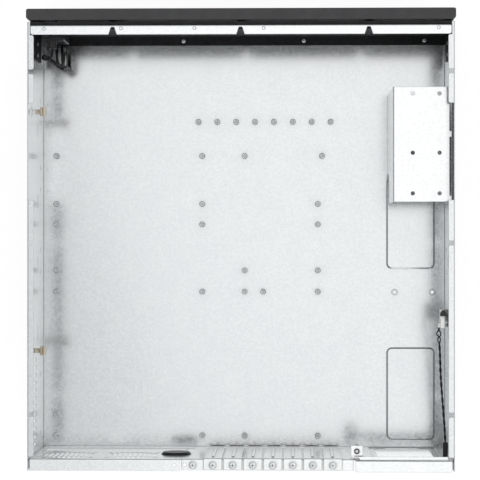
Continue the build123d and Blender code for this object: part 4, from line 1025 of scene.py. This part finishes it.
def spun(profile: list[tuple[float, float]], sides: int) -> bmesh.types.BMesh:
    """Turned shape from a half outline of radius and height.

    Args:
        profile: radius and height of each point, from the axis to the axis.
        sides: steps of the turn.

    Returns:
        The closed shape.
    """
    shape = bmesh.new()
    line = [shape.verts.new((radius, 0.0, height)) for radius, height in profile]
    edges = [shape.edges.new(pair) for pair in zip(line, line[1:])]
    bmesh.ops.spin(
        shape, geom=[*line, *edges], cent=(0.0, 0.0, 0.0), axis=(0.0, 0.0, 1.0),
        angle=math.tau, steps=sides, use_merge=True,
    )
    bmesh.ops.remove_doubles(shape, verts=shape.verts, dist=TURNED_WELD)
    bmesh.ops.recalc_face_normals(shape, faces=shape.faces)
    return shape


def cross_cutter(width: float, span: float, depth: float) -> bmesh.types.BMesh:
    """Tapered cross that cuts a driver recess, from just above the origin down.

    Args:
        width: width of an arm at the top, in metres.
        span: length of both arms of one bar at the top.
        depth: depth of the recess.

    Returns:
        The closed shape.
    """
    shape = bmesh.new()
    for long_way, short_way in ((span, width), (width, span)):
        made_box = bmesh.ops.create_cube(shape, size=1.0)["verts"]
        for vertex in made_box:
            taper = 1.0 if vertex.co.z > 0 else 0.45
            vertex.co = Vector((
                vertex.co.x * long_way * taper,
                vertex.co.y * short_way * (1.0 if vertex.co.z > 0 else 0.8),
                depth * 0.25 if vertex.co.z > 0 else -depth,
            ))
    return shape


def cut_away(base: bmesh.types.BMesh, cutter: bmesh.types.BMesh) -> bpy.types.Mesh:
    """Mesh of a shape with another cut out of it.

    Args:
        base: the shape that is cut, which is freed.
        cutter: the shape that is taken away, which is freed.

    Returns:
        The mesh that is left.
    """
    body, tool = placed(as_mesh("cut_body", base)), placed(as_mesh("cut_tool", cutter))
    modifier = body.modifiers.new("recess", "BOOLEAN")
    modifier.object, modifier.solver = tool, "EXACT"
    modifier.use_self = True
    bpy.context.view_layer.update()
    graph = bpy.context.evaluated_depsgraph_get()
    mesh = bpy.data.meshes.new_from_object(body.evaluated_get(graph))
    for piece in (body, tool):
        data = piece.data
        bpy.data.objects.remove(piece)
        bpy.data.meshes.remove(data)
    return mesh


@dataclass
class Screw(Fastener):
    """Pan or washer head screw with a cross recess."""

    def head(self) -> bpy.types.Mesh:
        """Mesh of one screw.

        Returns:
            The mesh.
        """
        crown = self.head_height / 3
        length = self.length()
        shank = self.head_radius * 0.45
        profile = [(0.0, -length), (shank, -length)]
        if self.washer_radius:
            profile += [
                (shank, -self.head_height),
                (self.washer_radius, -self.head_height),
                (self.washer_radius, -self.head_height + self.washer_height),
                (self.head_radius, -self.head_height + self.washer_height * 1.2),
            ]
        else:
            profile += [(shank, -self.head_height), (self.head_radius, -self.head_height)]
        profile += [
            (self.head_radius, -crown * 1.4),
            (self.head_radius - crown * 0.35, -crown * 0.6),
            (self.head_radius - crown, -crown * 0.12),
            (self.head_radius * 0.5, 0.0),
            (0.0, 0.0),
        ]
        shape = spun(profile, self.sides)
        cutter = cross_cutter(self.recess * 0.34, self.recess * 2, self.head_height * 0.75)
        return cut_away(shape, cutter)


@dataclass
class BlindRivet(Fastener):
    """Domed blind rivet with the broken pin's hole in its head."""

    def head(self) -> bpy.types.Mesh:
        """Mesh of one rivet.

        Returns:
            The mesh.
        """
        length = self.length()
        body = self.head_radius * 0.72
        hole = self.head_radius * 0.34
        profile = [
            (0.0, -length), (body, -length), (body, -self.head_height),
            (self.head_radius, -self.head_height),
            (self.head_radius, -self.head_height * 0.72),
            (self.head_radius * 0.86, -self.head_height * 0.36),
            (self.head_radius * 0.62, -self.head_height * 0.1),
            (hole * 1.25, 0.0), (hole, -self.head_height * 0.12),
            (hole, -self.head_height * 0.9), (0.0, -self.head_height * 0.75),
        ]
        return as_mesh("rivet", spun(profile, self.sides))


@dataclass
class Standoff(Fastener):
    """Turned board standoff with a broken upper edge and a threaded bore."""

    bore: float = 1.5 * MM
    bore_depth: float = 1.1 * MM
    thread_depth: float = 0.16 * MM
    rings: int = 3

    def head(self) -> bpy.types.Mesh:
        """Mesh of one standoff.

        Returns:
            The mesh.
        """
        length = self.length()
        edge = self.head_radius * 0.2
        profile = [
            (0.0, -length), (self.head_radius, -length), (self.head_radius, -edge),
            (self.head_radius - edge, 0.0), (self.bore * 1.16, 0.0),
        ]
        for ring in range(self.rings):
            top = -self.bore_depth * (ring + 0.4) / self.rings
            root = top - self.bore_depth * 0.3 / self.rings
            profile += [(self.bore, top), (self.bore - self.thread_depth, root)]
        profile.append((0.0, -self.bore_depth))
        return as_mesh("standoff", spun(profile, self.sides))


@dataclass
class Hardware:
    """All fasteners that show a drive or a rivet head."""

    def build(self, finishes: Finishes) -> None:
        """Build each group.

        Args:
            finishes: the case's finishes.
        """
        plated, black = "zinc_plated_steel", "black_painted_steel"
        groups = [
            Screw(
                "slot_screws", plated, Facing.UP, 3.2 * MM, 1.9 * MM,
                washer_radius=3.9 * MM, washer_height=0.6 * MM, recess=1.9 * MM),
            Screw("psu_plate_screws", plated, Facing.REAR, 2.9 * MM, 1.8 * MM, recess=1.6 * MM),
            Screw("bezel_screws", black, Facing.REAR, 2.9 * MM, 1.7 * MM, recess=1.6 * MM),
            Screw("module_screws", plated, Facing.REAR, 2.2 * MM, 1.3 * MM, recess=1.2 * MM),
            Screw(
                "switch_bracket_screws", plated, Facing.LEFT, 2.8 * MM, 1.4 * MM,
                recess=1.5 * MM),
            Screw(
                "drive_bracket_screws", plated, Facing.RIGHT, 2.8 * MM, 0.9 * MM,
                recess=1.5 * MM),
            Screw("switch_screws", plated, Facing.LEFT, 1.9 * MM, 0.9 * MM, recess=1.1 * MM),
            BlindRivet("lip_rivets", "rivet_aluminium", Facing.UP, 2.2 * MM, 0.8 * MM),
            Standoff("board_standoffs", "standoff_steel", Facing.UP, 3.0 * MM, 5.0 * MM),
            Standoff("card_row_standoffs", "standoff_steel", Facing.UP, 3.0 * MM, 5.0 * MM),
            BlindRivet("rail_rivets", black, Facing.REAR, 2.2 * MM, 0.8 * MM),
        ]
        for group in groups:
            group.build(finishes)


def main() -> None:
    """Build the scene in order."""
    logging.basicConfig(level=logging.INFO, format="%(name)s: %(message)s")
    Studio().build()
    finishes = Finishes()
    finishes.build()
    FrontLeads().build(finishes)
    SwitchLead().build(finishes)
    finishes.dress_nodes()
    Hardware().build(finishes)


if __name__ == "__main__":
    main()
